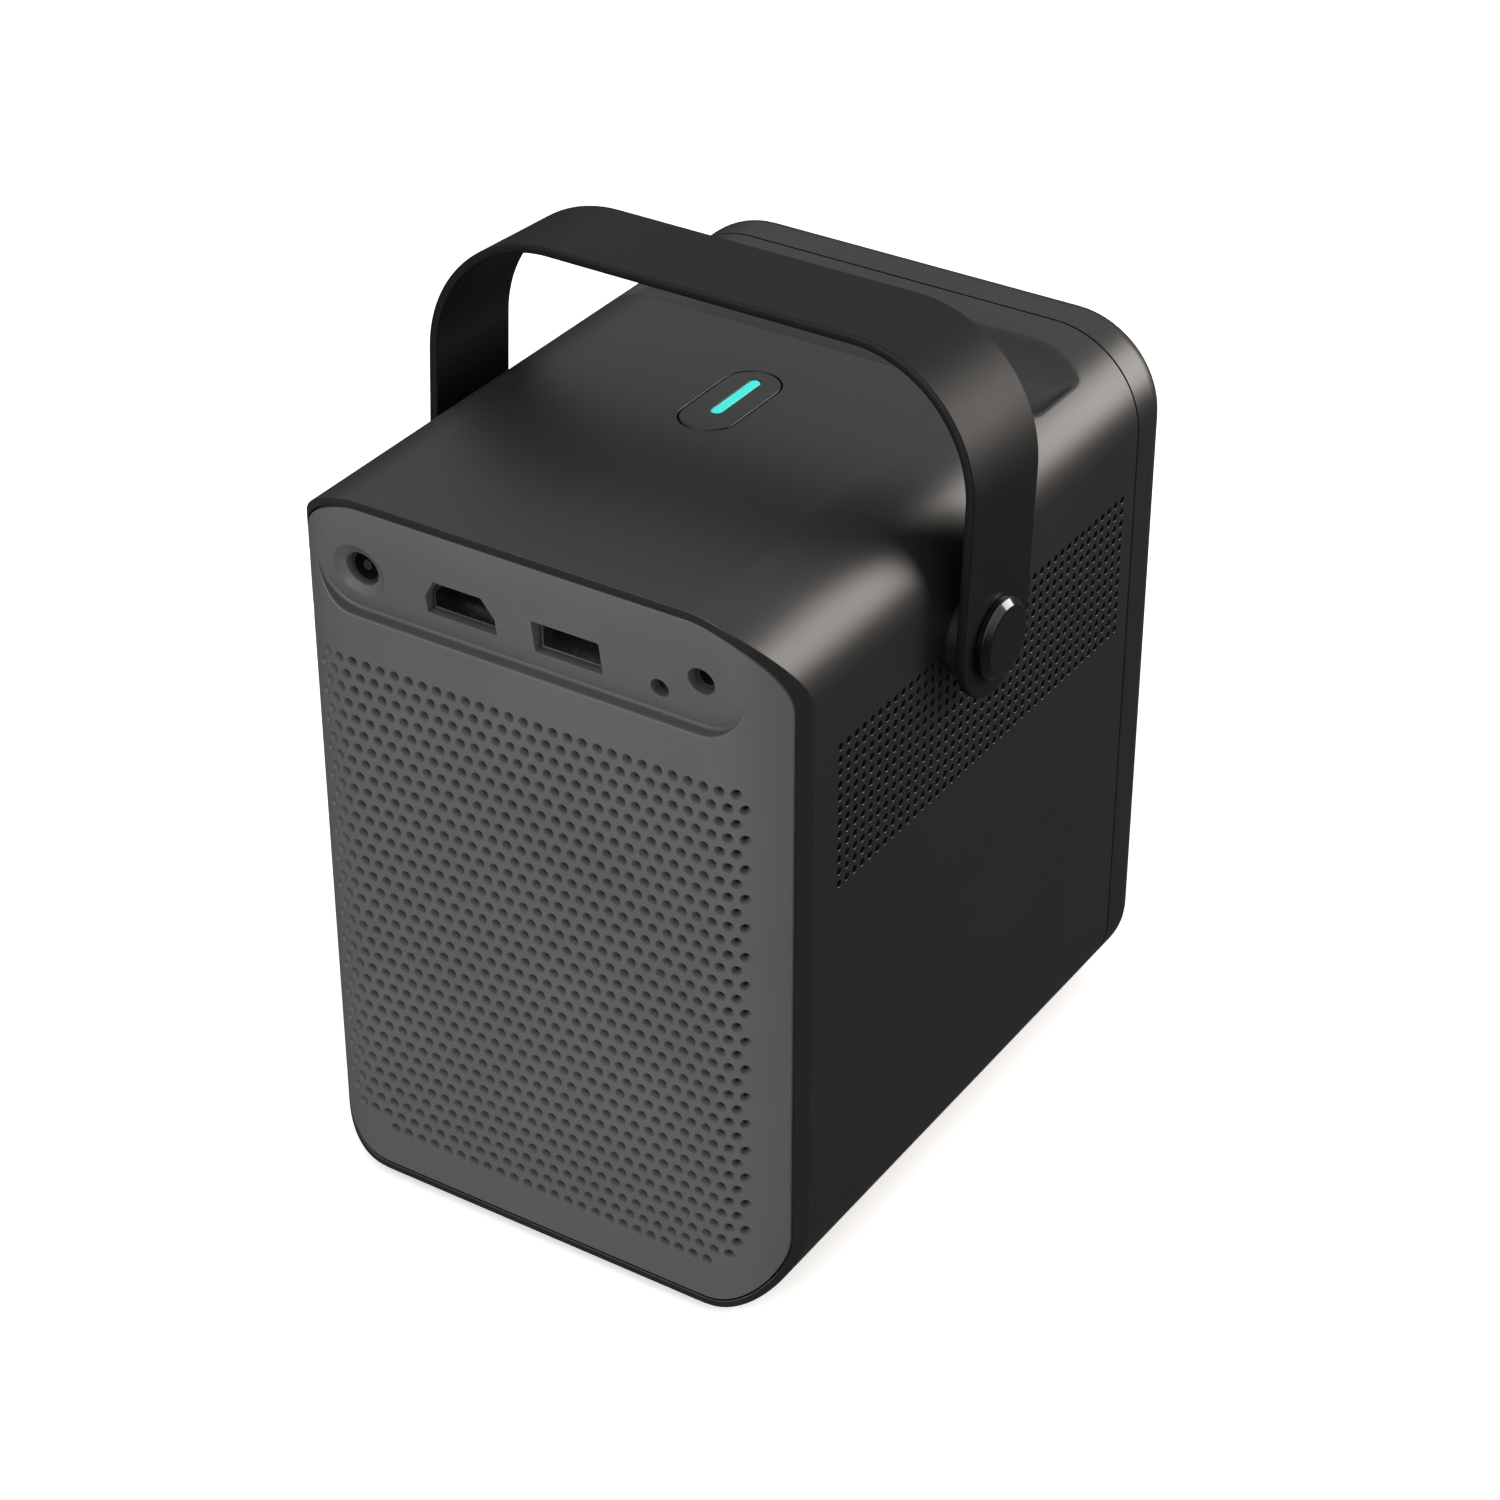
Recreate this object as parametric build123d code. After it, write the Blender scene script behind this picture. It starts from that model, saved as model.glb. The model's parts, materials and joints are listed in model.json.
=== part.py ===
"""Portable home projector with a folding strap handle.

Millimetres.  +Z is up, the lens looks along -Y, the sockets are on the +Y face and X is the width.
The origin is on the table, under the middle of the case.
"""
import os
from math import cos, radians, sin

from build123d import *

os.makedirs("parts", exist_ok=True)

# ---------------------------------------------------------------- driving dimensions
WIDTH = 112.0
DEPTH = 147.0
HEIGHT = 158.0
FOOT = 2.0
TOP_RADIUS = 20.0
BOTTOM_RADIUS = 18.0
REAR_CURVE = 16.0
REAR_SPREAD = 0.7
FRONT_ROUND = 6.0
WALL = 1.6
SEAM = 0.35
BEZEL_DEPTH = 12.5
RUN = 0.05
GAP = 0.3

BASE = FOOT
TOP = FOOT + HEIGHT
MIDDLE = FOOT + HEIGHT / 2
FRONT = -DEPTH / 2
REAR = DEPTH / 2
BEZEL_BACK = FRONT + BEZEL_DEPTH

# handle
STRAP_WIDTH = 24.5
STRAP_THICK = 2.0
STRAP_OUT = 61.8
STRAP_RISE = 27.7
STRAP_LEAN = 3.5
STRAP_BEND = 28.0
PIVOT_Y = REAR - 67.0
PIVOT_Z = TOP - 31.2
SHOULDER_R = 4.0
CAP_R = 8.3
CAP_THICK = 2.6
WASHER = 0.6

# channel in the top that the folded handle dips into
REST_Y0 = REAR - 124.8
REST_Y1 = REAR - 100.0
REST_DEPTH = 7.0
REST_HALF = 50.0

# power button
BUTTON_Y = REAR - 70.4
BUTTON_WIDE = 11.6
BUTTON_LONG = 26.6
BUTTON_TRAVEL = 0.8
BAR_LONG = 15.8
BAR_WIDE = 2.4
BAR_FORWARD = 2.0

# side vents
VENT_Y0 = REAR - 130.2
VENT_Y1 = REAR - 19.2
VENT_Z0 = TOP - 64.2
VENT_Z1 = TOP - 31.2

# sockets on the rear panel: X and Z of each centre
PANEL = 2.0
POCKET_HALF = 47.5
POCKET_Z0 = TOP - 25.0
POCKET_Z1 = TOP - 7.0
POCKET_DEPTH = 3.0
POCKET_CORNER = 9.0
DC_X, DC_Z = 37.8, TOP - 16.0
HDMI_X, HDMI_Z = 14.8, TOP - 16.5
USB_X, USB_Z = -9.0, TOP - 17.5
SENSOR_X, SENSOR_Z = -29.0, TOP - 19.5
AUDIO_X, AUDIO_Z = -38.5, TOP - 14.5
BOARD_TOP = TOP - 21.6
BOARD_THICK = 1.6
SOCKET_FACE = REAR - 4.6

# lens and light path, all on one line along Y
LENS_Z = BASE + 98.0
TUBE_R = 22.0
BARREL_R = 19.0
RING_R = 26.0
ENGINE_FRONT = -34.0
ENGINE_REAR = 18.0
FAN_HALF = 30.0
FAN_Y0 = 42.0
FAN_Y1 = 53.0
HUB_R = 11.0
ROTOR_R = 27.0


# ---------------------------------------------------------------- helpers
def box(x0, x1, y0, y1, z0, z1):
    """Box between two corners."""
    middle = ((x0 + x1) / 2, (y0 + y1) / 2, (z0 + z1) / 2)
    return Pos(*middle) * Box(x1 - x0, y1 - y0, z1 - z0)


def rod_y(x, z, y0, y1, r):
    """Round bar along Y."""
    return Pos(x, (y0 + y1) / 2, z) * Rot(90, 0, 0) * Cylinder(r, y1 - y0)


def rod_x(y, z, x0, x1, r):
    """Round bar along X."""
    return Pos((x0 + x1) / 2, y, z) * Rot(0, 90, 0) * Cylinder(r, x1 - x0)


def rod_z(x, y, z0, z1, r):
    """Round bar along Z."""
    return Pos(x, y, (z0 + z1) / 2) * Cylinder(r, z1 - z0)


def along_y(face, y0, y1):
    """Extrude a face drawn in X and Z from y0 to y1."""
    place = Plane(origin=(0, y1, 0), x_dir=(1, 0, 0), z_dir=(0, -1, 0))
    return extrude(place * face, amount=y1 - y0)


def section(inset=0.0):
    """The case's cross-section, drawn in X and Z, made smaller by an inset."""
    face = Pos(0, MIDDLE) * Rectangle(WIDTH - 2 * inset, HEIGHT - 2 * inset)
    top = face.vertices().group_by(Axis.Y)[-1]
    face = fillet(top, TOP_RADIUS - inset)
    low = face.vertices().group_by(Axis.Y)[0]
    return fillet(low, BOTTOM_RADIUS - inset)


def plan(inset=0.0, front=-DEPTH):
    """The case seen from above, with the two rounded rear corners, as a tall block."""
    half = WIDTH / 2 + REAR_SPREAD - inset
    face = Pos(0, (REAR - inset + front) / 2) * Rectangle(2 * half, REAR - inset - front)
    back = face.vertices().group_by(Axis.Y)[-1]
    face = fillet(back, REAR_CURVE - inset)
    return Pos(0, 0, -5) * extrude(face, amount=TOP + 60)


def capsule(long, wide):
    """Stadium outline with its long axis along local Y."""
    return Rot(0, 0, 90) * SlotOverall(long, wide)


def half_section(inset, y0, y1):
    """Solid block with the case's outline between two depths, cut by the rear curve."""
    return along_y(section(inset), y0, y1) & plan(0.0)


# ---------------------------------------------------------------- case
def rest_outer():
    """Block under the top wall that the handle channel is cut in."""
    y0, y1 = REST_Y0 - WALL, REST_Y1 + WALL
    half = REST_HALF + WALL
    block = box(-half, half, y0, y1, TOP - REST_DEPTH - WALL, TOP)
    edges = block.edges().filter_by(Axis.Y).group_by(Axis.Z)[0]
    block = fillet(edges, 8.0)
    return block & along_y(section(0.4), y0, y1)


def rest_cavity():
    """Curved floor of the channel, a shallow round trough with rising ends."""
    half_wide = (REST_Y1 - REST_Y0) / 2
    trough_r = (half_wide ** 2 + REST_DEPTH ** 2) / (2 * REST_DEPTH)
    trough = rod_x((REST_Y0 + REST_Y1) / 2, TOP - REST_DEPTH + trough_r, -60, 60, trough_r)
    ends = box(-REST_HALF, REST_HALF, REST_Y0 - 5, REST_Y1 + 5, TOP - REST_DEPTH, TOP + 20)
    low = ends.edges().filter_by(Axis.Y).group_by(Axis.Z)[0]
    return trough & fillet(low, 6.5)


def sleeve():
    """Outer wrap: one rounded tube with the vent windows, button hole and handle channel."""
    tube = half_section(0.0, BEZEL_BACK + SEAM, REAR) - along_y(section(WALL), -DEPTH, DEPTH)
    tube = tube + rest_outer()
    tube = tube - rest_cavity()
    hole = extrude(capsule(BUTTON_LONG + 2 * GAP, BUTTON_WIDE + 2 * GAP), amount=10)
    tube = tube - Pos(0, BUTTON_Y, TOP - 5) * hole
    tube = tube - box(-WIDTH, WIDTH, VENT_Y0, VENT_Y1, VENT_Z0, VENT_Z1)
    tube = tube - rod_x(PIVOT_Y, PIVOT_Z, -WIDTH, WIDTH, SHOULDER_R + 1.0)
    for x, y in foot_places():
        tube = tube - rod_z(x, y, BASE - 1, BASE + 5, 1.7)
    return tube - rod_z(0, 0, BASE - 1, BASE + 5, 7.0)


def vent_grille(side):
    """Flat grille set flush in one side window, with the hole for the handle's boss."""
    x0, x1 = side * (WIDTH / 2 - WALL), side * WIDTH / 2
    plate = box(min(x0, x1), max(x0, x1), VENT_Y0, VENT_Y1, VENT_Z0, VENT_Z1)
    return plate - rod_x(PIVOT_Y, PIVOT_Z, -WIDTH, WIDTH, SHOULDER_R + 1.0)


def front_bezel():
    """Front cap with rounded edges, a flange that plugs into the sleeve and a recess for the glass."""
    shell = along_y(section(0.0), FRONT, BEZEL_BACK)
    rim = shell.faces().sort_by(Axis.Y)[0].edges()
    shell = fillet(rim, FRONT_ROUND)
    hollow = along_y(section(WALL + 0.6), FRONT + 3.2, BEZEL_BACK + 1)
    flange = along_y(section(WALL + 0.1), BEZEL_BACK - 1, BEZEL_BACK + 5)
    flange = flange - along_y(section(WALL + 1.7), BEZEL_BACK - 2, BEZEL_BACK + 6)
    shell = shell - hollow + flange
    shell = shell - along_y(glass_outline(0.15), FRONT - 1, FRONT + 1.6)
    shell = shell - rod_y(0, LENS_Z, FRONT - 1, FRONT + 6, RING_R + 0.8)
    return shell - rod_y(0, BASE + 24, FRONT - 1, FRONT + 6, 3.0)


def glass_outline(grow=0.0):
    """Rounded rectangle of the dark front window."""
    face = Pos(0, MIDDLE) * Rectangle(92 + 2 * grow, 136 + 2 * grow)
    return fillet(face.vertices(), 12 + grow)


def front_panel():
    """Dark acrylic window with the lens opening."""
    panel = along_y(glass_outline(), FRONT + 0.3, FRONT + 1.6)
    return panel - rod_y(0, LENS_Z, FRONT - 1, FRONT + 6, RING_R + 0.6)


def ir_window():
    """Remote-control receiver behind the front window."""
    return rod_y(0, BASE + 24, FRONT + 1.6, FRONT + 5.0, 2.9)


def pocket():
    """Sloping recess for the sockets: flush at its top, deepest above its lower shelf."""
    slope = Polyline((REAR + 4, POCKET_Z1 + 24 / POCKET_DEPTH), (REAR - POCKET_DEPTH, POCKET_Z0),
                     (REAR + 4, POCKET_Z0), close=True)
    wedge = extrude(Plane.YZ * make_face(slope), amount=POCKET_HALF, both=True)
    frame = Pos(0, (POCKET_Z0 + TOP + 20) / 2) * Rectangle(2 * POCKET_HALF, TOP + 20 - POCKET_Z0)
    low = frame.vertices().group_by(Axis.Y)[0]
    return wedge & along_y(fillet(low, POCKET_CORNER), REAR - 10, REAR + 10)


def hdmi_outline(wide, high):
    """Socket outline, wide below and chamfered above."""
    points = [(-wide / 2, -high / 2), (wide / 2, -high / 2), (wide / 2, -0.02 * high),
              (wide * 0.34, high / 2), (-wide * 0.34, high / 2), (-wide / 2, -0.02 * high)]
    return make_face(Polyline(*points, close=True))


def rear_panel():
    """Curved back with a skirt inside the sleeve, the socket recess and the socket holes."""
    outer = half_section(WALL + SEAM, REAR - 12, REAR)
    inner = along_y(section(WALL + SEAM + PANEL), REAR - 13, REAR) & plan(PANEL)
    panel = outer - inner
    panel = panel + (box(-50, 50, REAR - 5.2, REAR, POCKET_Z0 - 3, TOP - 5) & outer)
    panel = panel - pocket()
    depth = (REAR - 12, REAR + 2)
    panel = panel - rod_y(DC_X, DC_Z, *depth, 3.6)
    mouth = Pos(DC_X, REAR - 1.9, DC_Z) * Rot(-90, 0, 0) * Cone(3.6, 6.6, 1.8)
    panel = panel - mouth
    panel = panel - along_y(Pos(HDMI_X, HDMI_Z) * hdmi_outline(15.6, 7.6), *depth)
    panel = panel - box(USB_X - 7.4, USB_X + 7.4, *depth, USB_Z - 3.5, USB_Z + 3.5)
    panel = panel - rod_y(SENSOR_X, SENSOR_Z, *depth, 1.9)
    return panel - rod_y(AUDIO_X, AUDIO_Z, *depth, 2.8)


def foot_places():
    """The four feet and the screws above them."""
    return [(x, y) for x in (-30, 30) for y in (-50, 54)]


def rubber_feet():
    """Four rubber rings around the screw heads."""
    feet = []
    for x, y in foot_places():
        feet.append(rod_z(x, y, 0, BASE, 7.5) - rod_z(x, y, -1, BASE + 1, 3.6))
    return Compound(children=feet)


def base_screws():
    """Four pan-head screws that hold the inner frame."""
    screws = []
    for x, y in foot_places():
        screw = rod_z(x, y, 0.5, BASE, 2.8) + rod_z(x, y, BASE, BASE + 7, 1.5)
        screws.append(screw - box(x - 2, x + 2, y - 0.35, y + 0.35, 0.4, 1.2))
    return Compound(children=screws)


def tripod_insert():
    """Brass insert with a quarter-inch bore."""
    insert = rod_z(0, 0, BASE, BASE + 10, 6.9) - rod_z(0, 0, BASE - 1, BASE + 9, 3.175)
    return insert


def inner_frame():
    """Folded tray that carries the optics, boards and speakers."""
    floor = box(-36, 36, -55, 60, BASE + WALL, BASE + 4)
    frame = floor + box(-36, 36, -2, 0.5, BASE + 4, BASE + 62)
    for x in (-33, 33):
        frame = frame + box(x - 1.5, x + 1.5, -32, 16, BASE + 4, BASE + 64)
    for x, y in foot_places():
        frame = frame + rod_z(x, y, BASE + 4, BASE + 9, 3.5)
        frame = frame - rod_z(x, y, BASE, BASE + 8, 1.55)
    return frame - rod_z(0, 0, BASE, BASE + 20, 7.0)


# ---------------------------------------------------------------- boards and sockets
def main_board():
    """Main circuit board under the top wall."""
    board = box(-46, 46, -12, REAR - 6.5, BOARD_TOP - BOARD_THICK, BOARD_TOP)
    board = board + box(-18, 4, 10, 30, BOARD_TOP, BOARD_TOP + 1.4)
    board = board + box(10, 22, 8, 20, BOARD_TOP, BOARD_TOP + 1.2)
    return board + box(-36, -26, 12, 26, BOARD_TOP, BOARD_TOP + 4)


def dc_jack():
    """Power inlet with its centre pin."""
    body = box(DC_X - 4.5, DC_X + 4.5, REAR - 18, SOCKET_FACE - 1, BOARD_TOP, DC_Z + 5)
    body = body + rod_y(DC_X, DC_Z, SOCKET_FACE - 1, SOCKET_FACE + 0.6, 3.5)
    body = body - rod_y(DC_X, DC_Z, REAR - 14, REAR, 2.9)
    return body + rod_y(DC_X, DC_Z, REAR - 15, SOCKET_FACE + 0.4, 1.0)


def hdmi_port():
    """Video socket: folded metal shell with a tongue."""
    y0, y1 = REAR - 17, SOCKET_FACE + 0.8
    shell = along_y(Pos(HDMI_X, HDMI_Z) * hdmi_outline(14.8, 6.8), y0, y1)
    shell = shell - along_y(Pos(HDMI_X, HDMI_Z) * hdmi_outline(14.0, 6.0), y0 + 1, y1 + 1)
    shell = shell + box(HDMI_X - 6, HDMI_X + 6, y0, y1 - 10, BOARD_TOP, HDMI_Z - 3)
    return shell + box(HDMI_X - 5.2, HDMI_X + 5.2, y0 + 0.5, y1 - 6.0, HDMI_Z - 1.4, HDMI_Z - 0.5)


def usb_port():
    """Type A data socket: metal box with a tongue."""
    y0, y1 = REAR - 18, SOCKET_FACE + 0.8
    shell = box(USB_X - 6.9, USB_X + 6.9, y0, y1, USB_Z - 3.0, USB_Z + 3.0)
    shell = shell - box(USB_X - 6.5, USB_X + 6.5, y0 + 1, y1 + 1, USB_Z - 2.6, USB_Z + 2.6)
    shell = shell + box(USB_X - 6, USB_X + 6, y0, y1 - 10, BOARD_TOP, USB_Z - 2.9)
    return shell + box(USB_X - 5.6, USB_X + 5.6, y0 + 0.5, y1 - 5.5, USB_Z + 0.2, USB_Z + 1.9)


def audio_jack():
    """Headphone socket with a 3.6 mm bore."""
    body = box(AUDIO_X - 3.5, AUDIO_X + 3.5, REAR - 19, SOCKET_FACE - 1, BOARD_TOP, AUDIO_Z + 3.2)
    body = body + rod_y(AUDIO_X, AUDIO_Z, SOCKET_FACE - 1, SOCKET_FACE + 1, 2.7)
    return body - rod_y(AUDIO_X, AUDIO_Z, REAR - 17, REAR, 1.8)


def rear_sensor():
    """Small receiver lens behind the round rear hole."""
    body = box(SENSOR_X - 2.5, SENSOR_X + 2.5, REAR - 11, SOCKET_FACE - 1, BOARD_TOP, SENSOR_Z + 2.4)
    return body + rod_y(SENSOR_X, SENSOR_Z, SOCKET_FACE - 1, SOCKET_FACE, 1.8)


def power_board():
    """Lamp driver board on the frame's floor."""
    board = box(-30, 30, 3, 34, BASE + 10, BASE + 11.6)
    board = board + rod_z(-16, 20, BASE + 11.6, BASE + 22, 6)
    board = board + rod_z(14, 22, BASE + 11.6, BASE + 20, 5)
    board = board + box(-4, 6, 8, 18, BASE + 11.6, BASE + 18)
    for x, y in ((-26, 7), (26, 7), (-26, 30), (26, 30)):
        board = board + rod_z(x, y, BASE + 4, BASE + 10, 2)
    return board


# ---------------------------------------------------------------- power button
def power_button():
    """Capsule key, flush with the top, with a flange under the wall and a plunger."""
    low = TOP - WALL - 0.15
    key = Pos(0, BUTTON_Y, low - 0.2) * extrude(capsule(BUTTON_LONG, BUTTON_WIDE), amount=TOP - low + 0.2)
    rim = key.faces().sort_by(Axis.Z)[-1].edges()
    key = fillet(rim, 0.3)
    flange = extrude(capsule(BUTTON_LONG + 3, BUTTON_WIDE + 3), amount=1.2)
    key = key + Pos(0, BUTTON_Y, low - 1.2) * flange
    key = key - bar_slot()
    return key + rod_z(0, BUTTON_Y, TOP - 8.0, low - 1.2, 1.6)


def bar_slot():
    """Slot through the key for the light bar."""
    shape = extrude(capsule(BAR_LONG, BAR_WIDE), amount=4)
    return Pos(0, BUTTON_Y - BAR_FORWARD, TOP - 2) * shape


def light_bar():
    """Light guide in the key."""
    shape = extrude(capsule(BAR_LONG, BAR_WIDE), amount=2.0)
    return Pos(0, BUTTON_Y - BAR_FORWARD, TOP - 2) * shape


def button_board():
    """Small board under the key, on two posts from the main board."""
    low = TOP - 13.0
    board = box(-12, 12, BUTTON_Y - 14, BUTTON_Y + 14, low, low + 1.2)
    for y in (BUTTON_Y - 11, BUTTON_Y + 11):
        board = board + rod_z(9, y, low - 7.4, low, 1.5)
    return board


def button_switch():
    """Tactile switch below the plunger."""
    low = TOP - 11.8
    body = box(-3, 3, BUTTON_Y - 3, BUTTON_Y + 3, low, low + 2.4)
    return body + rod_z(0, BUTTON_Y, low + 2.4, TOP - 8.0 - BUTTON_TRAVEL - 0.1, 1.5)


# ---------------------------------------------------------------- light path
def optical_engine():
    """Closed light box from the lamp to the lens mount."""
    half_x, half_z = 33.0, 27.0
    low, high = LENS_Z - half_z, LENS_Z + half_z
    case = box(-half_x, half_x, ENGINE_FRONT, ENGINE_REAR, low, high)
    case = case - box(-half_x + 2, half_x - 2, ENGINE_FRONT + 3, ENGINE_REAR + 1, low + 2, high - 2)
    case = case - rod_y(0, LENS_Z, ENGINE_FRONT - 1, ENGINE_FRONT + 4, BARREL_R + 0.4)
    return case


def panel_stack(y0, y1, half_x=30.8, half_z=24.8):
    """Flat plate across the inside of the light box."""
    return box(-half_x, half_x, y0, y1, LENS_Z - half_z, LENS_Z + half_z)


def condenser_lens():
    """Plano-convex glass in front of the lamp."""
    radius, thick = 24.0, 8.0
    ball_r = (radius ** 2 + thick ** 2) / (2 * thick)
    ball = Pos(0, ENGINE_REAR - 10 + ball_r - thick, LENS_Z) * Sphere(ball_r)
    return ball & rod_y(0, LENS_Z, ENGINE_REAR - 22, ENGINE_REAR - 10, radius)


def lens_tube():
    """Fixed tube on the light box that guides the lens."""
    tube = rod_y(0, LENS_Z, -64.0, ENGINE_FRONT, TUBE_R) - rod_y(0, LENS_Z, -80, 0, BARREL_R + RUN)
    return tube + (rod_y(0, LENS_Z, -38.0, ENGINE_FRONT, 25) - rod_y(0, LENS_Z, -80, 0, TUBE_R))


def lens_barrel():
    """Sliding lens body, open at both ends for its two glasses."""
    barrel = rod_y(0, LENS_Z, -68.5, -36, BARREL_R)
    barrel = barrel - rod_y(0, LENS_Z, -80, -20, 15.0)
    barrel = barrel - rod_y(0, LENS_Z, -69, -64.0, 17.0)
    return barrel - rod_y(0, LENS_Z, -41, -30, 16.0)


def lens_glass(y0, y1, r, bulge):
    """Bulged glass disc along Y, its convex side towards y0."""
    ball_r = (r ** 2 + bulge ** 2) / (2 * bulge)
    ball = Pos(0, y0 + ball_r, LENS_Z) * Sphere(ball_r)
    return ball & rod_y(0, LENS_Z, y0, y1, r)


def focus_ring():
    """Ribbed ring that turns on the fixed tube."""
    ring = rod_y(0, LENS_Z, FRONT + 1.2, -60.2, RING_R) - rod_y(0, LENS_Z, -80, 0, TUBE_R + RUN)
    lip = rod_y(0, LENS_Z, FRONT + 1.2, -70.4, RING_R) - rod_y(0, LENS_Z, -80, 0, BARREL_R + 1.0)
    ring = ring + lip
    for step in range(36):
        turn = radians(10 * step)
        x, z = (RING_R + 0.35) * sin(turn), LENS_Z + (RING_R + 0.35) * cos(turn)
        ring = ring - rod_y(x, z, FRONT, -62.0, 0.9)
    return ring


def led_board():
    """Metal-core board with the lamp chip."""
    board = box(-22, 22, ENGINE_REAR + 0.2, ENGINE_REAR + 2.2, LENS_Z - 22, LENS_Z + 22)
    return board + box(-7, 7, ENGINE_REAR - 1.5, ENGINE_REAR + 0.2, LENS_Z - 5, LENS_Z + 5)


def heatsink():
    """Finned aluminium block behind the lamp."""
    y0 = ENGINE_REAR + 2.2
    sink = box(-29, 29, y0, y0 + 4, LENS_Z - 26, LENS_Z + 26)
    for step in range(13):
        x = -28.2 + step * 4.7
        sink = sink + box(x - 0.6, x + 0.6, y0 + 4, FAN_Y0 - 0.3, LENS_Z - 26, LENS_Z + 26)
    return sink


def fan_frame():
    """Square fan housing with four spokes to the motor seat."""
    frame = box(-FAN_HALF, FAN_HALF, FAN_Y0, FAN_Y1, LENS_Z - FAN_HALF, LENS_Z + FAN_HALF)
    frame = frame - rod_y(0, LENS_Z, FAN_Y0 - 1, FAN_Y1 + 1, ROTOR_R + 1)
    frame = frame + rod_y(0, LENS_Z, FAN_Y0, FAN_Y0 + 1.5, HUB_R)
    frame = frame + box(-1.2, 1.2, FAN_Y0, FAN_Y0 + 1.5, LENS_Z - ROTOR_R - 1.5, LENS_Z + ROTOR_R + 1.5)
    frame = frame + box(-ROTOR_R - 1.5, ROTOR_R + 1.5, FAN_Y0, FAN_Y0 + 1.5, LENS_Z - 1.2, LENS_Z + 1.2)
    return frame + rod_y(0, LENS_Z, FAN_Y0 + 1.5, FAN_Y1 - 4, 1.5)


def fan_rotor():
    """Hub with seven tilted blades."""
    y0, y1 = FAN_Y0 + 2.2, FAN_Y1 - 0.8
    rotor = rod_y(0, LENS_Z, y0, y1, HUB_R)
    long = ROTOR_R - HUB_R + 1.5
    for step in range(7):
        blade = Pos(0, 0, HUB_R - 1.5 + long / 2) * Rot(0, 0, 38) * Box(1.0, 9.0, long)
        rotor = rotor + Pos(0, (y0 + y1) / 2, LENS_Z) * Rot(0, step * 360 / 7, 0) * blade
    rotor = rotor & rod_y(0, LENS_Z, y0, y1, ROTOR_R)
    return rotor - rod_y(0, LENS_Z, y0 - 1, FAN_Y1 - 3.9, 1.5 + RUN)


def speaker(x):
    """Round loudspeaker facing the rear grille, with its magnet in front of the frame wall."""
    z = BASE + 34
    face = REAR - 8
    basket = Pos(x, face - 8, z) * Rot(-90, 0, 0) * Cone(11, 20, 12)
    driver = basket + rod_y(x, z, face - 2, face, 21.5)
    cone = Pos(x, face - 5, z) * Rot(-90, 0, 0) * Cone(5, 18, 10.5)
    driver = driver - cone
    return driver + rod_y(x, z, face - 24, face - 13.9, 14) + rod_y(x, z, face - 14, face - 5, 4.5)


# ---------------------------------------------------------------- handle
def strap_path(inset):
    """Filled arch outline of the handle, drawn in X and Z."""
    half = STRAP_OUT - inset
    high = TOP + STRAP_RISE - inset
    low = PIVOT_Z - STRAP_WIDTH
    face = Pos(0, (high + low) / 2) * Rectangle(2 * half, high - low)
    return fillet(face.vertices().group_by(Axis.Y)[-1], STRAP_BEND - inset)


def handle_strap():
    """Flat strap bail with round ends about the pivots."""
    half = STRAP_WIDTH / 2
    y0, y1 = PIVOT_Y - half, PIVOT_Y + half
    arch = along_y(strap_path(0.0), y0, y1) - along_y(strap_path(STRAP_THICK), y0 - 1, y1 + 1)
    keep = rod_x(PIVOT_Y, PIVOT_Z, -70, 70, half) + box(-70, 70, y0, y1, PIVOT_Z, TOP + 60)
    arch = arch & keep
    arch = arch - rod_x(PIVOT_Y, PIVOT_Z, -70, 70, SHOULDER_R + RUN)
    return Pos(0, PIVOT_Y, PIVOT_Z) * Rot(STRAP_LEAN, 0, 0) * Pos(0, -PIVOT_Y, -PIVOT_Z) * arch


def pivot_bolt(side):
    """Shoulder bolt whose broad chamfered head caps the pivot."""
    seat = STRAP_OUT + 0.1
    head = rod_x(PIVOT_Y, PIVOT_Z, seat, seat + CAP_THICK, CAP_R)
    head = chamfer(head.faces().sort_by(Axis.X)[-1].edges(), 1.3)
    bolt = head + rod_x(PIVOT_Y, PIVOT_Z, WIDTH / 2 - WALL, seat, SHOULDER_R)
    bolt = bolt + rod_x(PIVOT_Y, PIVOT_Z, WIDTH / 2 - WALL - 5, WIDTH / 2 - WALL, 2.5)
    return bolt if side > 0 else mirror(bolt, about=Plane.YZ)


def pivot_boss(side):
    """Spacer between the case and the strap."""
    x1 = STRAP_OUT - STRAP_THICK - WASHER - 0.1
    boss = rod_x(PIVOT_Y, PIVOT_Z, WIDTH / 2, x1, 9.0)
    boss = boss + rod_x(PIVOT_Y, PIVOT_Z, WIDTH / 2 - WALL, WIDTH / 2, SHOULDER_R + 1.0)
    boss = boss - rod_x(PIVOT_Y, PIVOT_Z, 0, 80, SHOULDER_R)
    return boss if side > 0 else mirror(boss, about=Plane.YZ)


def pivot_washer(side):
    """Friction washer on the boss."""
    x1 = STRAP_OUT - STRAP_THICK - 0.1
    washer = rod_x(PIVOT_Y, PIVOT_Z, x1 - WASHER, x1, 9.5) - rod_x(PIVOT_Y, PIVOT_Z, 0, 80, SHOULDER_R)
    return washer if side > 0 else mirror(washer, about=Plane.YZ)


def pivot_plate(side):
    """Steel plate inside the case that takes the bolt."""
    x1 = WIDTH / 2 - WALL
    plate = box(x1 - 2.5, x1, PIVOT_Y - 16, PIVOT_Y + 16, PIVOT_Z - 13, PIVOT_Z + 10)
    plate = plate - rod_x(PIVOT_Y, PIVOT_Z, 0, 80, 2.5)
    return plate if side > 0 else mirror(plate, about=Plane.YZ)


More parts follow.
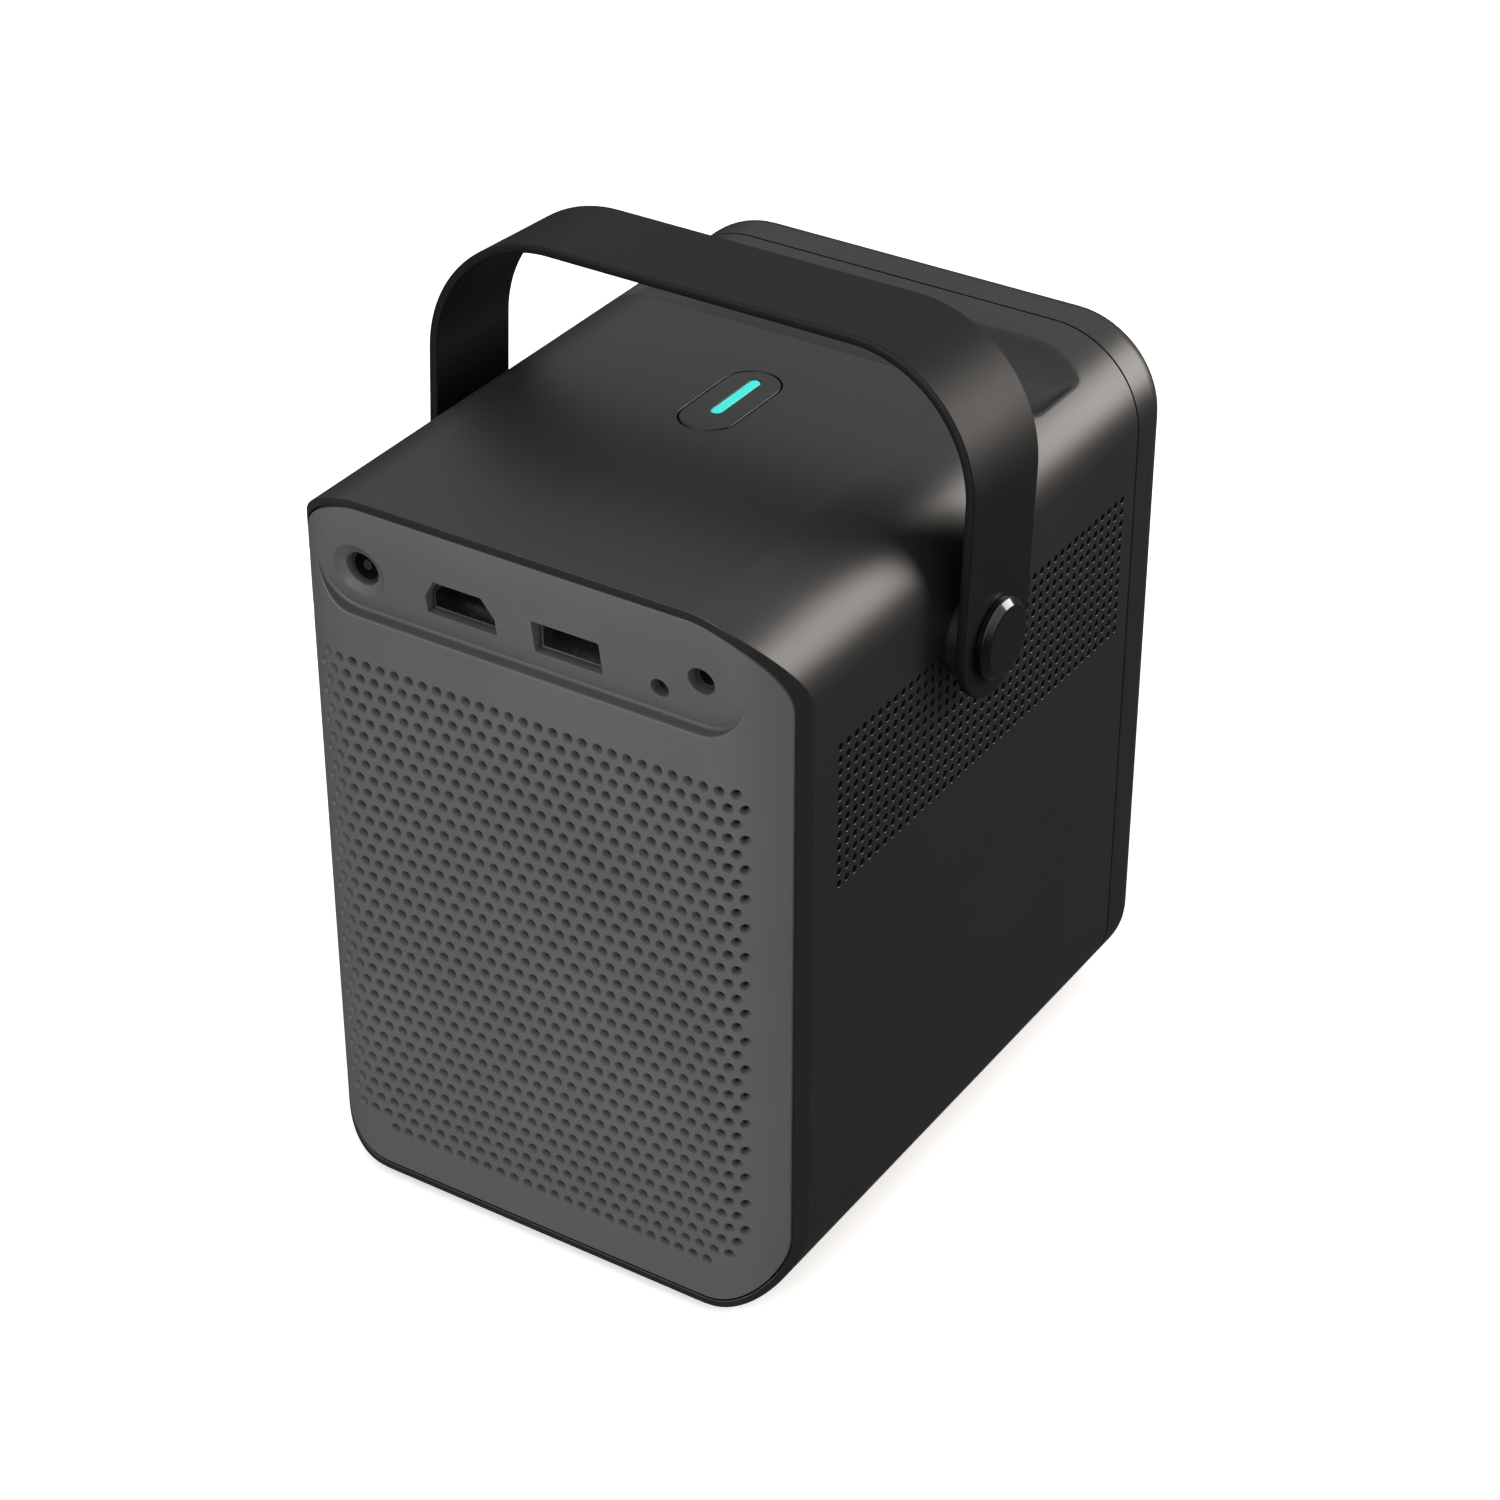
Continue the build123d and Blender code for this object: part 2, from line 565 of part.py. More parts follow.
# ---------------------------------------------------------------- write every piece
PIECES = {
    "sleeve": sleeve(),
    "vent_grille_left": vent_grille(1),
    "vent_grille_right": vent_grille(-1),
    "front_bezel": front_bezel(),
    "front_panel": front_panel(),
    "ir_window": ir_window(),
    "rear_panel": rear_panel(),
    "rubber_feet": rubber_feet(),
    "base_screws": base_screws(),
    "tripod_insert": tripod_insert(),
    "inner_frame": inner_frame(),
    "main_board": main_board(),
    "dc_jack": dc_jack(),
    "hdmi_port": hdmi_port(),
    "usb_port": usb_port(),
    "audio_jack": audio_jack(),
    "rear_sensor": rear_sensor(),
    "power_board": power_board(),
    "power_button": power_button(),
    "light_bar": light_bar(),
    "button_board": button_board(),
    "button_switch": button_switch(),
    "optical_engine": optical_engine(),
    "condenser_lens": condenser_lens(),
    "fresnel_rear": panel_stack(ENGINE_REAR - 26, ENGINE_REAR - 24),
    "lcd_panel": panel_stack(ENGINE_REAR - 31, ENGINE_REAR - 28),
    "fresnel_front": panel_stack(ENGINE_REAR - 35, ENGINE_REAR - 33),
    "lens_tube": lens_tube(),
    "lens_barrel": lens_barrel(),
    "front_element": lens_glass(-67.5, -64.0, 17.0, 2.2),
    "rear_element": lens_glass(-41.0, -37.0, 16.0, 2.0),
    "focus_ring": focus_ring(),
    "led_board": led_board(),
    "heatsink": heatsink(),
    "fan_frame": fan_frame(),
    "fan_rotor": fan_rotor(),
    "speaker_left": speaker(24.0),
    "speaker_right": speaker(-24.0),
    "handle_strap": handle_strap(),
    "pivot_bolt_left": pivot_bolt(1),
    "pivot_bolt_right": pivot_bolt(-1),
    "pivot_boss_left": pivot_boss(1),
    "pivot_boss_right": pivot_boss(-1),
    "pivot_washer_left": pivot_washer(1),
    "pivot_washer_right": pivot_washer(-1),
    "pivot_plate_left": pivot_plate(1),
    "pivot_plate_right": pivot_plate(-1),
}

for name, shape in PIECES.items():
    export_step(shape, f"parts/{name}.step")
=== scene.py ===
"""Looks of a small upright home projector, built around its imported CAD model.

Lengths inside the functions are millimetres, and finished meshes are in metres.
X is the width, the lens looks along -Y, the sockets are on the +Y face and +Z is up.
"""
import json
from math import asin, cos, pi, radians, sin, sqrt

import bmesh
import bpy
from mathutils import Matrix, Vector
from mathutils.geometry import delaunay_2d_cdt
from mathutils.kdtree import KDTree


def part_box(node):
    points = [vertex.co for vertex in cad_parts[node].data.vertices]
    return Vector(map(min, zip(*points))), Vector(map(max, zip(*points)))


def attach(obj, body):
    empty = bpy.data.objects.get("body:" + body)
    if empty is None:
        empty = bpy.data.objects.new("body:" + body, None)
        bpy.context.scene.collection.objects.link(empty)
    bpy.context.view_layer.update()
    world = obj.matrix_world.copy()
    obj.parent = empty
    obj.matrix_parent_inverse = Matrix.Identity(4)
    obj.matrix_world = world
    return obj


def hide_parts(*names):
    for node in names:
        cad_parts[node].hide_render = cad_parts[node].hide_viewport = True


bl_info = {
    "name": "Home projector looks",
    "version": (1, 0, 0),
    "blender": (4, 5, 0),
    "location": "3D View > Sidebar > Projector",
    "description": "Builds the skins, grilles, handle, sockets and finishes of a home projector",
    "category": "Object",
}

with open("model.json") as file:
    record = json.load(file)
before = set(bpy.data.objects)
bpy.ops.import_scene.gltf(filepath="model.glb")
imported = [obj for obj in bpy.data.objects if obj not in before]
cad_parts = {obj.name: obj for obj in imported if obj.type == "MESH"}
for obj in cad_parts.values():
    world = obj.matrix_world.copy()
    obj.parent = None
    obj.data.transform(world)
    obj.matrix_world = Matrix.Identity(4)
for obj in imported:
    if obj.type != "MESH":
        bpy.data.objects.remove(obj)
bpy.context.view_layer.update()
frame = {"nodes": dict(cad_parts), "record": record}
NODES = frame["nodes"]
MM = 0.001


def span(node):
    """Lowest and highest corner of a CAD node, in millimetres."""
    return [[round(c / MM, 2) for c in corner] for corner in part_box(node)]


# ---------------------------------------------------------------- sizes read from the frame
(_, SHELL_FRONT, BASE), (HALF, REAR, TOP) = span("sleeve")
(_, VENT_Y0, VENT_Z0), (_, VENT_Y1, VENT_Z1) = span("vent_grille_left")
(_, KEY_Y0, _), (KEY_HALF, KEY_Y1, _) = span("power_button")
KEY_MIDDLE = (KEY_Y0 + KEY_Y1) / 2
KEY_FLANGE = 1.5  # hidden rim under the wrap
KEY_WIDE = 2 * (KEY_HALF - KEY_FLANGE)
KEY_LONG = KEY_Y1 - KEY_Y0 - 2 * KEY_FLANGE
KEY_GAP = 0.3
(BAR_X0, BAR_Y0, BAR_Z0), (BAR_X1, BAR_Y1, _) = span("light_bar")
STRAP_OUT = span("handle_strap")[1][0]
(_, BOLT_Y0, BOLT_Z0), (BOLT_OUT, BOLT_Y1, BOLT_Z1) = span("pivot_bolt_left")
PIVOT_Y = (BOLT_Y0 + BOLT_Y1) / 2
PIVOT_Z = (BOLT_Z0 + BOLT_Z1) / 2

# ---------------------------------------------------------------- rounding of the case
TOP_R = 20.0
BOTTOM_R = 18.0
REAR_R = 16.0
REAR_FLAT = 40.7  # the rear is flat to here, each side of the middle
SEAM = 0.35
SIDE_STOPS = (58.0, 112.3)  # extra lines on the flat sides
INSERT_R = 7.0  # hole for the tripod insert
PATCH_Y = -14.0  # the flat patches around the key and the insert start here
KEY_PATCH_END = 20.0
INSERT_PATCH_END = 10.0
REAR_GAP = 1.6 + SEAM  # from the outer skin to the moulded back
REAR_THICK = 2.0

# handle channel across the top
REST_Y = -38.9
REST_DEPTH = 7.0
REST_R = 14.48
REST_REACH = 14.0  # half the channel's width, its soft edges included
REST_END = 50.0
REST_END_R = 6.5

# socket recess
POCKET_Z0 = TOP - 25.0
POCKET_Z1 = TOP - 7.0
POCKET_DEPTH = 3.0
POCKET_HALF = 47.5
POCKET_CORNER = 9.0
DC = (37.8, TOP - 16.0)
VIDEO = (14.8, TOP - 16.5)
DATA = (-9.0, TOP - 17.5)
SENSOR = (-29.0, TOP - 19.5)
AUDIO = (-38.5, TOP - 14.5)


# ---------------------------------------------------------------- what a user would change
def linear(code):
    """sRGB hex to the linear colour that the shaders take."""
    parts = [int(code[i:i + 2], 16) / 255 for i in (1, 3, 5)]
    return [c / 12.92 if c <= 0.04045 else ((c + 0.055) / 1.055) ** 2.4 for c in parts] + [1.0]


def length(name, description, default):
    """A length in metres, given in millimetres."""
    return bpy.props.FloatProperty(name=name, description=description, default=default * MM,
                                   unit="LENGTH", precision=5)


def colour(name, description, code):
    """A colour, given as sRGB hex."""
    return bpy.props.FloatVectorProperty(name=name, description=description, subtype="COLOR",
                                         size=4, min=0.0, max=1.0, default=linear(code))


class ProjectorCase(bpy.types.PropertyGroup):
    """Sizes and colours of the shell."""
    wall: length("Wall", "Thickness of the metal wrap", 1.6)
    edge: length("Edge", "Rounding of the wrap's cut edges", 0.22)
    shell: colour("Shell", "Colour of the painted wrap", "#1a1919")
    rear: colour("Rear", "Colour of the moulded back", "#464648")
    front: colour("Front", "Colour of the moulded front ring", "#171717")


class ProjectorGrille(bpy.types.PropertyGroup):
    """Hole patterns of the two side bands and the rear field."""
    side_columns: bpy.props.IntProperty(name="Side columns", description="Holes along the depth",
                                        default=40)
    side_rows: bpy.props.IntProperty(name="Side rows", description="Holes along the height",
                                     default=12)
    side_hole: length("Side hole", "Diameter of a side hole", 1.6)
    rear_columns: bpy.props.IntProperty(name="Rear columns", description="Holes in a wide row",
                                        default=30)
    rear_rows: bpy.props.IntProperty(name="Rear rows", description="Rows of holes", default=35)
    rear_across: length("Rear pitch", "Spacing of the rear holes along a row", 3.3)
    rear_up: length("Rear rise", "Spacing of the rear rows", 3.255)
    rear_low: length("Rear start", "Height of the lowest row", 13.7)
    rear_mouth: length("Rear mouth", "Outer diameter of a rear dimple", 2.3)
    rear_bore: length("Rear bore", "Inner diameter of a rear dimple", 1.3)


class ProjectorHandle(bpy.types.PropertyGroup):
    """The strap and its pivots."""
    thick: length("Thickness", "Thickness of the strap", 2.0)
    wide: length("Width", "Width of the strap", 24.5)
    rise: length("Rise", "Top of the strap above its pivots", 58.9)
    lean: bpy.props.FloatProperty(name="Lean", description="Forward lean at rest", subtype="ANGLE",
                                  default=radians(3.5))
    bend: length("Bend", "Outer bend radius", 28.0)
    edge: length("Edge", "Rounding of the strap's edges", 0.45)
    strap: colour("Strap", "Colour of the strap", "#0f0f10")


class ProjectorKey(bpy.types.PropertyGroup):
    """The power key and its light."""
    key: colour("Key", "Colour of the key", "#171616")
    light: colour("Light", "Colour of the lit bar", "#2fd6cf")
    glow: bpy.props.FloatProperty(name="Glow", description="Strength of the lit bar", default=0.85)


class ProjectorStage(bpy.types.PropertyGroup):
    """Floor, light and camera."""
    azimuth: bpy.props.FloatProperty(name="Azimuth", description="Camera's turn about Z",
                                     subtype="ANGLE", default=radians(212.62))
    elevation: bpy.props.FloatProperty(name="Elevation", description="Camera's height angle",
                                       subtype="ANGLE", default=radians(32.96))
    distance: length("Distance", "Camera to target", 768.05)
    lens: bpy.props.FloatProperty(name="Lens", description="Focal length in millimetres",
                                  default=91.28)
    surround: bpy.props.FloatProperty(name="Surround", description="Strength of the white tent",
                                      default=1.0)


GROUPS = {
    "projector_case": ProjectorCase,
    "projector_grille": ProjectorGrille,
    "projector_handle": ProjectorHandle,
    "projector_key": ProjectorKey,
    "projector_stage": ProjectorStage,
}


def mm(value):
    """A property in metres as millimetres."""
    return round(value / MM, 4)


# ---------------------------------------------------------------- nodes and finishes
def add(tree, kind, inputs=None, **settings):
    """Adds a node, with its settings, and its inputs as values or as sockets to link."""
    made = tree.nodes.new(kind)
    for key, value in settings.items():
        setattr(made, key, value)
    for key, value in (inputs or {}).items():
        if isinstance(value, bpy.types.NodeSocket):
            tree.links.new(value, made.inputs[key])
        else:
            made.inputs[key].default_value = value
    return made


def finish(name, base, low, rough, grain, bump, metal=0.0, stretch=(1, 1, 1), **shader):
    """A surface whose tone, gloss and relief follow a grain size in millimetres and a drift."""
    made = bpy.data.materials.new(name)
    made.use_nodes = True
    tree = made.node_tree
    tree.nodes.clear()
    place = add(tree, "ShaderNodeTexCoord").outputs["Object"]
    flow = add(tree, "ShaderNodeMapping", {"Vector": place, "Scale": stretch}).outputs[0]
    fine = add(tree, "ShaderNodeTexNoise",
               {"Vector": flow, "Scale": 1 / (grain * MM), "Detail": 3.0}).outputs["Fac"]
    broad = add(tree, "ShaderNodeTexNoise",
                {"Vector": place, "Scale": 1 / (45 * MM), "Detail": 2.0}).outputs["Fac"]
    blend = add(tree, "ShaderNodeMath", {0: fine, 1: broad}, operation="MULTIPLY").outputs[0]
    spread = add(tree, "ShaderNodeMapRange",
                 {"Value": blend, "From Min": 0.12, "From Max": 0.42}).outputs[0]
    tone = add(tree, "ShaderNodeMix", {0: spread, 6: low, 7: base}, data_type="RGBA").outputs[2]
    gloss = add(tree, "ShaderNodeMapRange",
                {"Value": broad, "From Min": 0.3, "From Max": 0.7,
                 "To Min": rough[0], "To Max": rough[1]}).outputs[0]
    relief = add(tree, "ShaderNodeBump",
                 {"Height": fine, "Strength": bump, "Distance": grain * MM * 0.25}).outputs[0]
    inputs = {"Base Color": tone, "Roughness": gloss, "Normal": relief, "Metallic": metal}
    inputs.update({key.replace("_", " "): value for key, value in shader.items()})
    skin = add(tree, "ShaderNodeBsdfPrincipled", inputs)
    add(tree, "ShaderNodeOutputMaterial", {"Surface": skin.outputs[0]})
    made.diffuse_color = base
    return made


def darker(code, part):
    """A colour, scaled down in linear light."""
    return [c * part for c in code[:3]] + [1.0]


def make_finishes(scene):
    """Every finish on the object, one for each slot of the record."""
    case = scene.projector_case
    handle = scene.projector_handle
    key = scene.projector_key
    made = {}

    # Aluminium wrap, sprayed and baked with a fine satin paint: soft wide highlights and a grain
    # of about a third of a millimetre, drawn slightly coarser so that it shows.
    made["case_shell"] = finish("Satin baked paint on aluminium", case.shell,
                                darker(case.shell, 0.86), (0.36, 0.41), 0.35, 0.10)
    # Moulded polycarbonate blend from a spark-eroded tool: even, matt and lighter than the paint.
    made["rear_plastic"] = finish("Spark textured PC ABS", case.rear, darker(case.rear, 0.88),
                                  (0.50, 0.58), 0.30, 0.14)
    # The same moulding with a finer tool: satin.
    made["bezel_plastic"] = finish("Satin moulded PC ABS", case.front, darker(case.front, 0.85),
                                   (0.34, 0.40), 0.30, 0.10)
    # Cast acrylic with black dye, polished: mirror-like with faint long waves.
    made["front_window"] = finish("Polished black acrylic", linear("#050506"), linear("#030304"),
                                  (0.03, 0.06), 8.0, 0.01, Coat_Weight=0.5, Coat_Roughness=0.02)
    # Spring steel strap, powder coated: dark, a little glossier along the bends.
    made["handle_metal"] = finish("Satin powder coat on steel", handle.strap,
                                  darker(handle.strap, 0.85), (0.44, 0.50), 0.35, 0.12,
                                  Specular_IOR_Level=0.18)
    # Gloss lacquered bolt head: small crisp reflections.
    made["pivot_black"] = finish("Gloss black lacquer", linear("#060606"), linear("#040404"),
                                 (0.10, 0.14), 3.0, 0.02, Coat_Weight=0.6, Coat_Roughness=0.06)
    # Compression moulded silicone: dull and slightly dusty.
    made["foot_rubber"] = finish("Moulded silicone rubber", linear("#1d1d1d"), linear("#131313"),
                                 (0.72, 0.85), 0.5, 0.20)
    # Glass filled nylon, moulded: matt with fine flow marks.
    made["washer_nylon"] = finish("Glass filled nylon", linear("#161616"), linear("#0e0e0e"),
                                  (0.50, 0.62), 0.4, 0.15)
    # Cold rolled steel, zinc plated: grey with a drawn grain.
    made["plain_steel"] = finish("Zinc plated steel", linear("#b4b5b7"), linear("#8f9092"),
                                 (0.30, 0.42), 0.6, 0.08, metal=1.0, stretch=(1, 0.1, 1))
    # Turned brass: warm yellow with fine rings along the axis.
    made["insert_brass"] = finish("Turned brass", linear("#c9a25a"), linear("#a07d3c"),
                                  (0.22, 0.32), 0.4, 0.08, metal=1.0, stretch=(0.2, 0.2, 1))
    # Folded mill finish aluminium sheet: pale with the rolling direction along Y.
    made["tray_aluminium"] = finish("Mill finish aluminium", linear("#c3c5c8"), linear("#a3a5a8"),
                                    (0.34, 0.46), 0.8, 0.06, metal=1.0, stretch=(1, 0.08, 1))
    # Extruded and sawn aluminium: fine die lines along Z.
    made["sink_aluminium"] = finish("Extruded aluminium", linear("#b7b9bc"), linear("#94969a"),
                                    (0.30, 0.44), 0.7, 0.08, metal=1.0, stretch=(1, 1, 0.06))
    # Glass epoxy laminate under green solder mask: glossy, with the weave faintly through it.
    made["board_green"] = finish("Green solder mask", linear("#1d5a38"), linear("#12402a"),
                                 (0.24, 0.34), 0.6, 0.10, Coat_Weight=0.3, Coat_Roughness=0.2)
    # Pressed socket shells, nickel plated: bright with a soft haze.
    made["socket_steel"] = finish("Nickel plated pressing", linear("#a7a6a2"), linear("#7d7c79"),
                                  (0.26, 0.38), 0.5, 0.06, metal=1.0, stretch=(1, 0.15, 1))
    # Heat resistant nylon of the socket bodies: black and matt.
    made["socket_black"] = finish("Moulded black nylon", linear("#1b1b1c"), linear("#121213"),
                                  (0.42, 0.55), 0.3, 0.12)
    # The key: same paint look as the wrap, moulded and sprayed.
    made["key_plastic"] = finish("Satin painted key", key.key, darker(key.key, 0.85),
                                 (0.32, 0.38), 0.30, 0.10)
    # Diffusing polycarbonate light guide, lit from below: even glow, slightly brighter inside.
    made["bar_light"] = finish("Lit diffusing polycarbonate", darker(key.light, 0.5),
                               darker(key.light, 0.4), (0.25, 0.35), 1.2, 0.02,
                               Emission_Color=key.light, Emission_Strength=key.glow)
    # Glass filled phenolic of the light box and barrel: black and dull to swallow stray light.
    # The thin black sheets behind the side bands and the rear field also use this finish; they are
    # painted shade for the dark inside.
    made["engine_black"] = finish("Matt black optical moulding", linear("#0c0c0d"),
                                  linear("#070708"), (0.60, 0.75), 0.4, 0.15)
    # Ground and polished crown glass with a purple green coating: clear, coloured reflections.
    made["optical_glass"] = finish("Coated optical glass", linear("#dfe8ee"), linear("#d5e0ea"),
                                   (0.01, 0.03), 12.0, 0.004, Transmission_Weight=1.0, IOR=1.52,
                                   Coat_Weight=1.0, Coat_Roughness=0.02,
                                   Coat_Tint=linear("#8f7fe0"), Specular_Tint=linear("#a9b4ff"))
    # Liquid crystal glass with a polariser film: dark violet grey and glossy.
    made["lcd_glass"] = finish("Polarised panel glass", linear("#2a2c33"), linear("#202228"),
                               (0.06, 0.12), 6.0, 0.01, Coat_Weight=0.5, Coat_Roughness=0.05)
    # Turned and moulded focus ring: black with a slight sheen on the rib crests.
    made["ring_plastic"] = finish("Ribbed black acetal", linear("#191919"), linear("#101010"),
                                  (0.36, 0.46), 0.3, 0.12)
    # Polyester blend of the fan: semi matt black.
    made["fan_plastic"] = finish("Moulded black polyester", linear("#1a1a1a"), linear("#111111"),
                                 (0.34, 0.44), 0.4, 0.10)
    # Pressed paper cone with a treated surface: fibrous and dull.
    made["speaker_paper"] = finish("Pressed paper cone", linear("#232323"), linear("#151515"),
                                   (0.68, 0.82), 0.7, 0.30)
    return made


FINISH = {}


# ---------------------------------------------------------------- mesh helpers
def fresh():
    """A growing mesh in millimetres, whose points may carry the exact direction they face."""
    shape = bmesh.new()
    shape.verts.layers.float_vector.new("facing")
    return shape


def dot(shape, place, facing=(0.0, 0.0, 0.0)):
    """Adds a point."""
    made = shape.verts.new(place)
    made[shape.verts.layers.float_vector["facing"]] = facing
    return made


def quad(shape, *corners):
    """Adds a face, unless its corners coincide."""
    corners = list(dict.fromkeys(corners))
    if len(corners) > 2 and shape.faces.get(corners) is None:
        shape.faces.new(corners)


def bridge(shape, one, two, closed=True):
    """Joins two rows of points of the same length."""
    count = len(one) if closed else len(one) - 1
    for i in range(count):
        k = (i + 1) % len(one)
        quad(shape, one[i], one[k], two[k], two[i])


def loft(shape, rows, closed=True):
    """Joins each row of points to the next."""
    for one, two in zip(rows, rows[1:]):
        bridge(shape, one, two, closed)


def inside(x, y, loop):
    """Whether a flat point is inside a closed outline."""
    hit = False
    for i, (ax, ay) in enumerate(loop):
        bx, by = loop[i - 1]
        if (ay > y) != (by > y) and x < (bx - ax) * (y - ay) / (by - ay) + ax:
            hit = not hit
    return hit


def fill(shape, outer, holes, lattice, place):
    """Covers a flat outline with holes; place turns a flat point into (position, facing)."""
    points = []
    edges = []
    for loop in [outer] + list(holes):
        first = len(points)
        points += [Vector(p) for p in loop]
        edges += [(first + i, first + (i + 1) % len(loop)) for i in range(len(loop))]
    points += [Vector(p) for p in lattice if inside(*p, outer)
               and not any(inside(*p, hole) for hole in holes)]
    flat, _, faces, _, _, _ = delaunay_2d_cdt(points, edges, [], 0, 1e-7)
    made = {}
    for face in faces:
        x = sum(flat[i][0] for i in face) / 3
        y = sum(flat[i][1] for i in face) / 3
        if not inside(x, y, outer) or any(inside(x, y, hole) for hole in holes):
            continue
        for i in face:
            if i not in made:
                made[i] = dot(shape, *place(flat[i][0], flat[i][1]))
        quad(shape, *[made[i] for i in face])


def weld(shape, gap=0.003):
    """Merges what coincides and turns every face outwards."""
    bmesh.ops.remove_doubles(shape, verts=shape.verts, dist=gap)
    bmesh.ops.dissolve_degenerate(shape, edges=shape.edges, dist=gap)
    loose = [v for v in shape.verts if not v.link_faces]
    bmesh.ops.delete(shape, geom=loose, context="VERTS")
    bmesh.ops.recalc_face_normals(shape, faces=shape.faces)


def make_piece(name, shape, slot, body="case", nodes=(), sharp=35.0):
    """Turns a shape into a finished piece that rides on a body and stands for CAD nodes."""
    layer = shape.verts.layers.float_vector["facing"]
    wishes = [(v.co.copy(), v[layer].copy()) for v in shape.verts if v[layer].length > 0]
    tree = KDTree(max(len(wishes), 1))
    for i, (place, _) in enumerate(wishes):
        tree.insert(place * MM, i)
    tree.balance()
    weld(shape)
    shape.verts.layers.float_vector.remove(layer)
    bmesh.ops.scale(shape, vec=(MM, MM, MM), verts=shape.verts)
    mesh = bpy.data.meshes.new(name)
    shape.to_mesh(mesh)
    shape.free()
    mesh.shade_smooth()
    mesh.set_sharp_from_angle(angle=radians(sharp))
    mesh.materials.append(FINISH[slot])
    piece = bpy.data.objects.new(name, mesh)
    bpy.context.scene.collection.objects.link(piece)
    if wishes:
        near = [[wishes[i][1] for _, i, _ in tree.find_range(v.co, 0.006 * MM)]
                for v in mesh.vertices]
        exact = [Vector(n.vector) for n in mesh.corner_normals]
        for face in mesh.polygons:
            for i in face.loop_indices:
                for wish in near[mesh.loops[i].vertex_index]:
                    if abs(wish.dot(face.normal)) > 0.8:
                        exact[i] = wish if wish.dot(face.normal) > 0 else -wish
        mesh.normals_split_custom_set(exact)
    else:
        smooth = piece.modifiers.new("Even shading", "WEIGHTED_NORMAL")
        smooth.keep_sharp = True
    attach(piece, body)
    if nodes:
        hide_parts(*nodes)
    return piece


def rounding(radius, steps=3):
    """Quarter round as (inset, setback) pairs, from the side face to the end face."""
    return [(radius * (1 - cos(radians(90 * i / steps))), radius * (1 - sin(radians(90 * i / steps))))
            for i in range(steps + 1)]


def circle(x, y, radius, count=48):
    """Round outline."""
    return [(x + radius * cos(2 * pi * i / count), y + radius * sin(2 * pi * i / count))
            for i in range(count)]


def box_outline(x, y, wide, high, corner, steps=6):
    """Rectangle with round corners."""
    points = []
    for cx, cy, start in ((1, 1, 0), (-1, 1, 90), (-1, -1, 180), (1, -1, 270)):
        for i in range(steps + 1):
            turn = radians(start + 90 * i / steps)
            points.append((x + cx * (wide / 2 - corner) + corner * cos(turn),
                           y + cy * (high / 2 - corner) + corner * sin(turn)))
    return points


def capsule(x, y, wide, long, steps=16):
    """Stadium outline, long along Y."""
    return box_outline(x, y, wide, long, wide / 2 - 0.001, steps)


def key_outline(grow=0.0):
    """Outline of the key's top, grown outwards."""
    return capsule(0, KEY_MIDDLE, KEY_WIDE + 2 * grow, KEY_LONG + 2 * grow)


# ---------------------------------------------------------------- case section
def steps_between(low, high, count):
    """Evenly spaced values with both ends."""
    return [low + (high - low) * i / count for i in range(count + 1)]


def section_lines(fine=60, coarse=24):
    """Lines around the case: each is its outer point (x, z) and the direction it faces."""
    lines = []
    side = sorted([VENT_Z0, VENT_Z1, *SIDE_STOPS])
    for x in steps_between(-38, 38, 8)[:-1]:
        lines.append(((x, BASE), (0.0, -1.0)))
    for cx, cz, radius, start, count in (
            (HALF - BOTTOM_R, BASE + BOTTOM_R, BOTTOM_R, -90, coarse),
            (HALF - TOP_R, TOP - TOP_R, TOP_R, 0, fine),
            (TOP_R - HALF, TOP - TOP_R, TOP_R, 90, fine),
            (BOTTOM_R - HALF, BASE + BOTTOM_R, BOTTOM_R, 180, coarse)):
        for i in range(count + 1):
            turn = radians(start + 90 * i / count)
            lines.append(((cx + radius * cos(turn), cz + radius * sin(turn)), (cos(turn), sin(turn))))
        if start == -90:
            lines += [((HALF, z), (1.0, 0.0)) for z in side]
        if start == 0:
            lines += [((x, TOP), (0.0, 1.0)) for x in steps_between(33, -33, 22)]
        if start == 90:
            lines += [((-HALF, z), (-1.0, 0.0)) for z in reversed(side)]
    return lines[:-1]


def at_inset(line, inset):
    """A section line's point (x, z), moved inwards."""
    (x, z), (nx, nz) = line
    return x - inset * nx, z - inset * nz


def rear_edge(x):
    """Y of the rounded rear at a distance from the middle."""
    over = abs(x) - REAR_FLAT
    return REAR if over <= 0 else REAR - REAR_R + sqrt(REAR_R ** 2 - over ** 2)


def unrolled(x):
    """Distance along the rear skin for a distance across it."""
    over = abs(x) - REAR_FLAT
    if over <= 0:
        return x
    return (REAR_FLAT + REAR_R * asin(over / REAR_R)) * (1 if x > 0 else -1)


def rear_bend(s, z, depth=0.0):
    """A point of the unrolled rear skin at a depth, and the way the skin faces there."""
    over = abs(s) - REAR_FLAT
    if over <= 0:
        return (s, REAR - depth, z), (0.0, 1.0, 0.0)
    side = 1 if s > 0 else -1
    turn = over / REAR_R
    reach = REAR_R - depth
    return ((side * (REAR_FLAT + reach * sin(turn)), REAR - REAR_R + reach * cos(turn), z),
            (side * sin(turn), cos(turn), 0.0))


def soft_max(a, b, round_off):
    """The larger value, with a rounded change-over."""
    part = max(round_off - abs(a - b), 0.0) / round_off
    return max(a, b) + part * part * round_off / 4


# ---------------------------------------------------------------- sleeve
def outer_height(x):
    """Height of the top skin."""
    over = abs(x) - (HALF - TOP_R)
    return TOP if over <= 0 else TOP - TOP_R + sqrt(max(TOP_R ** 2 - over ** 2, 0.0))


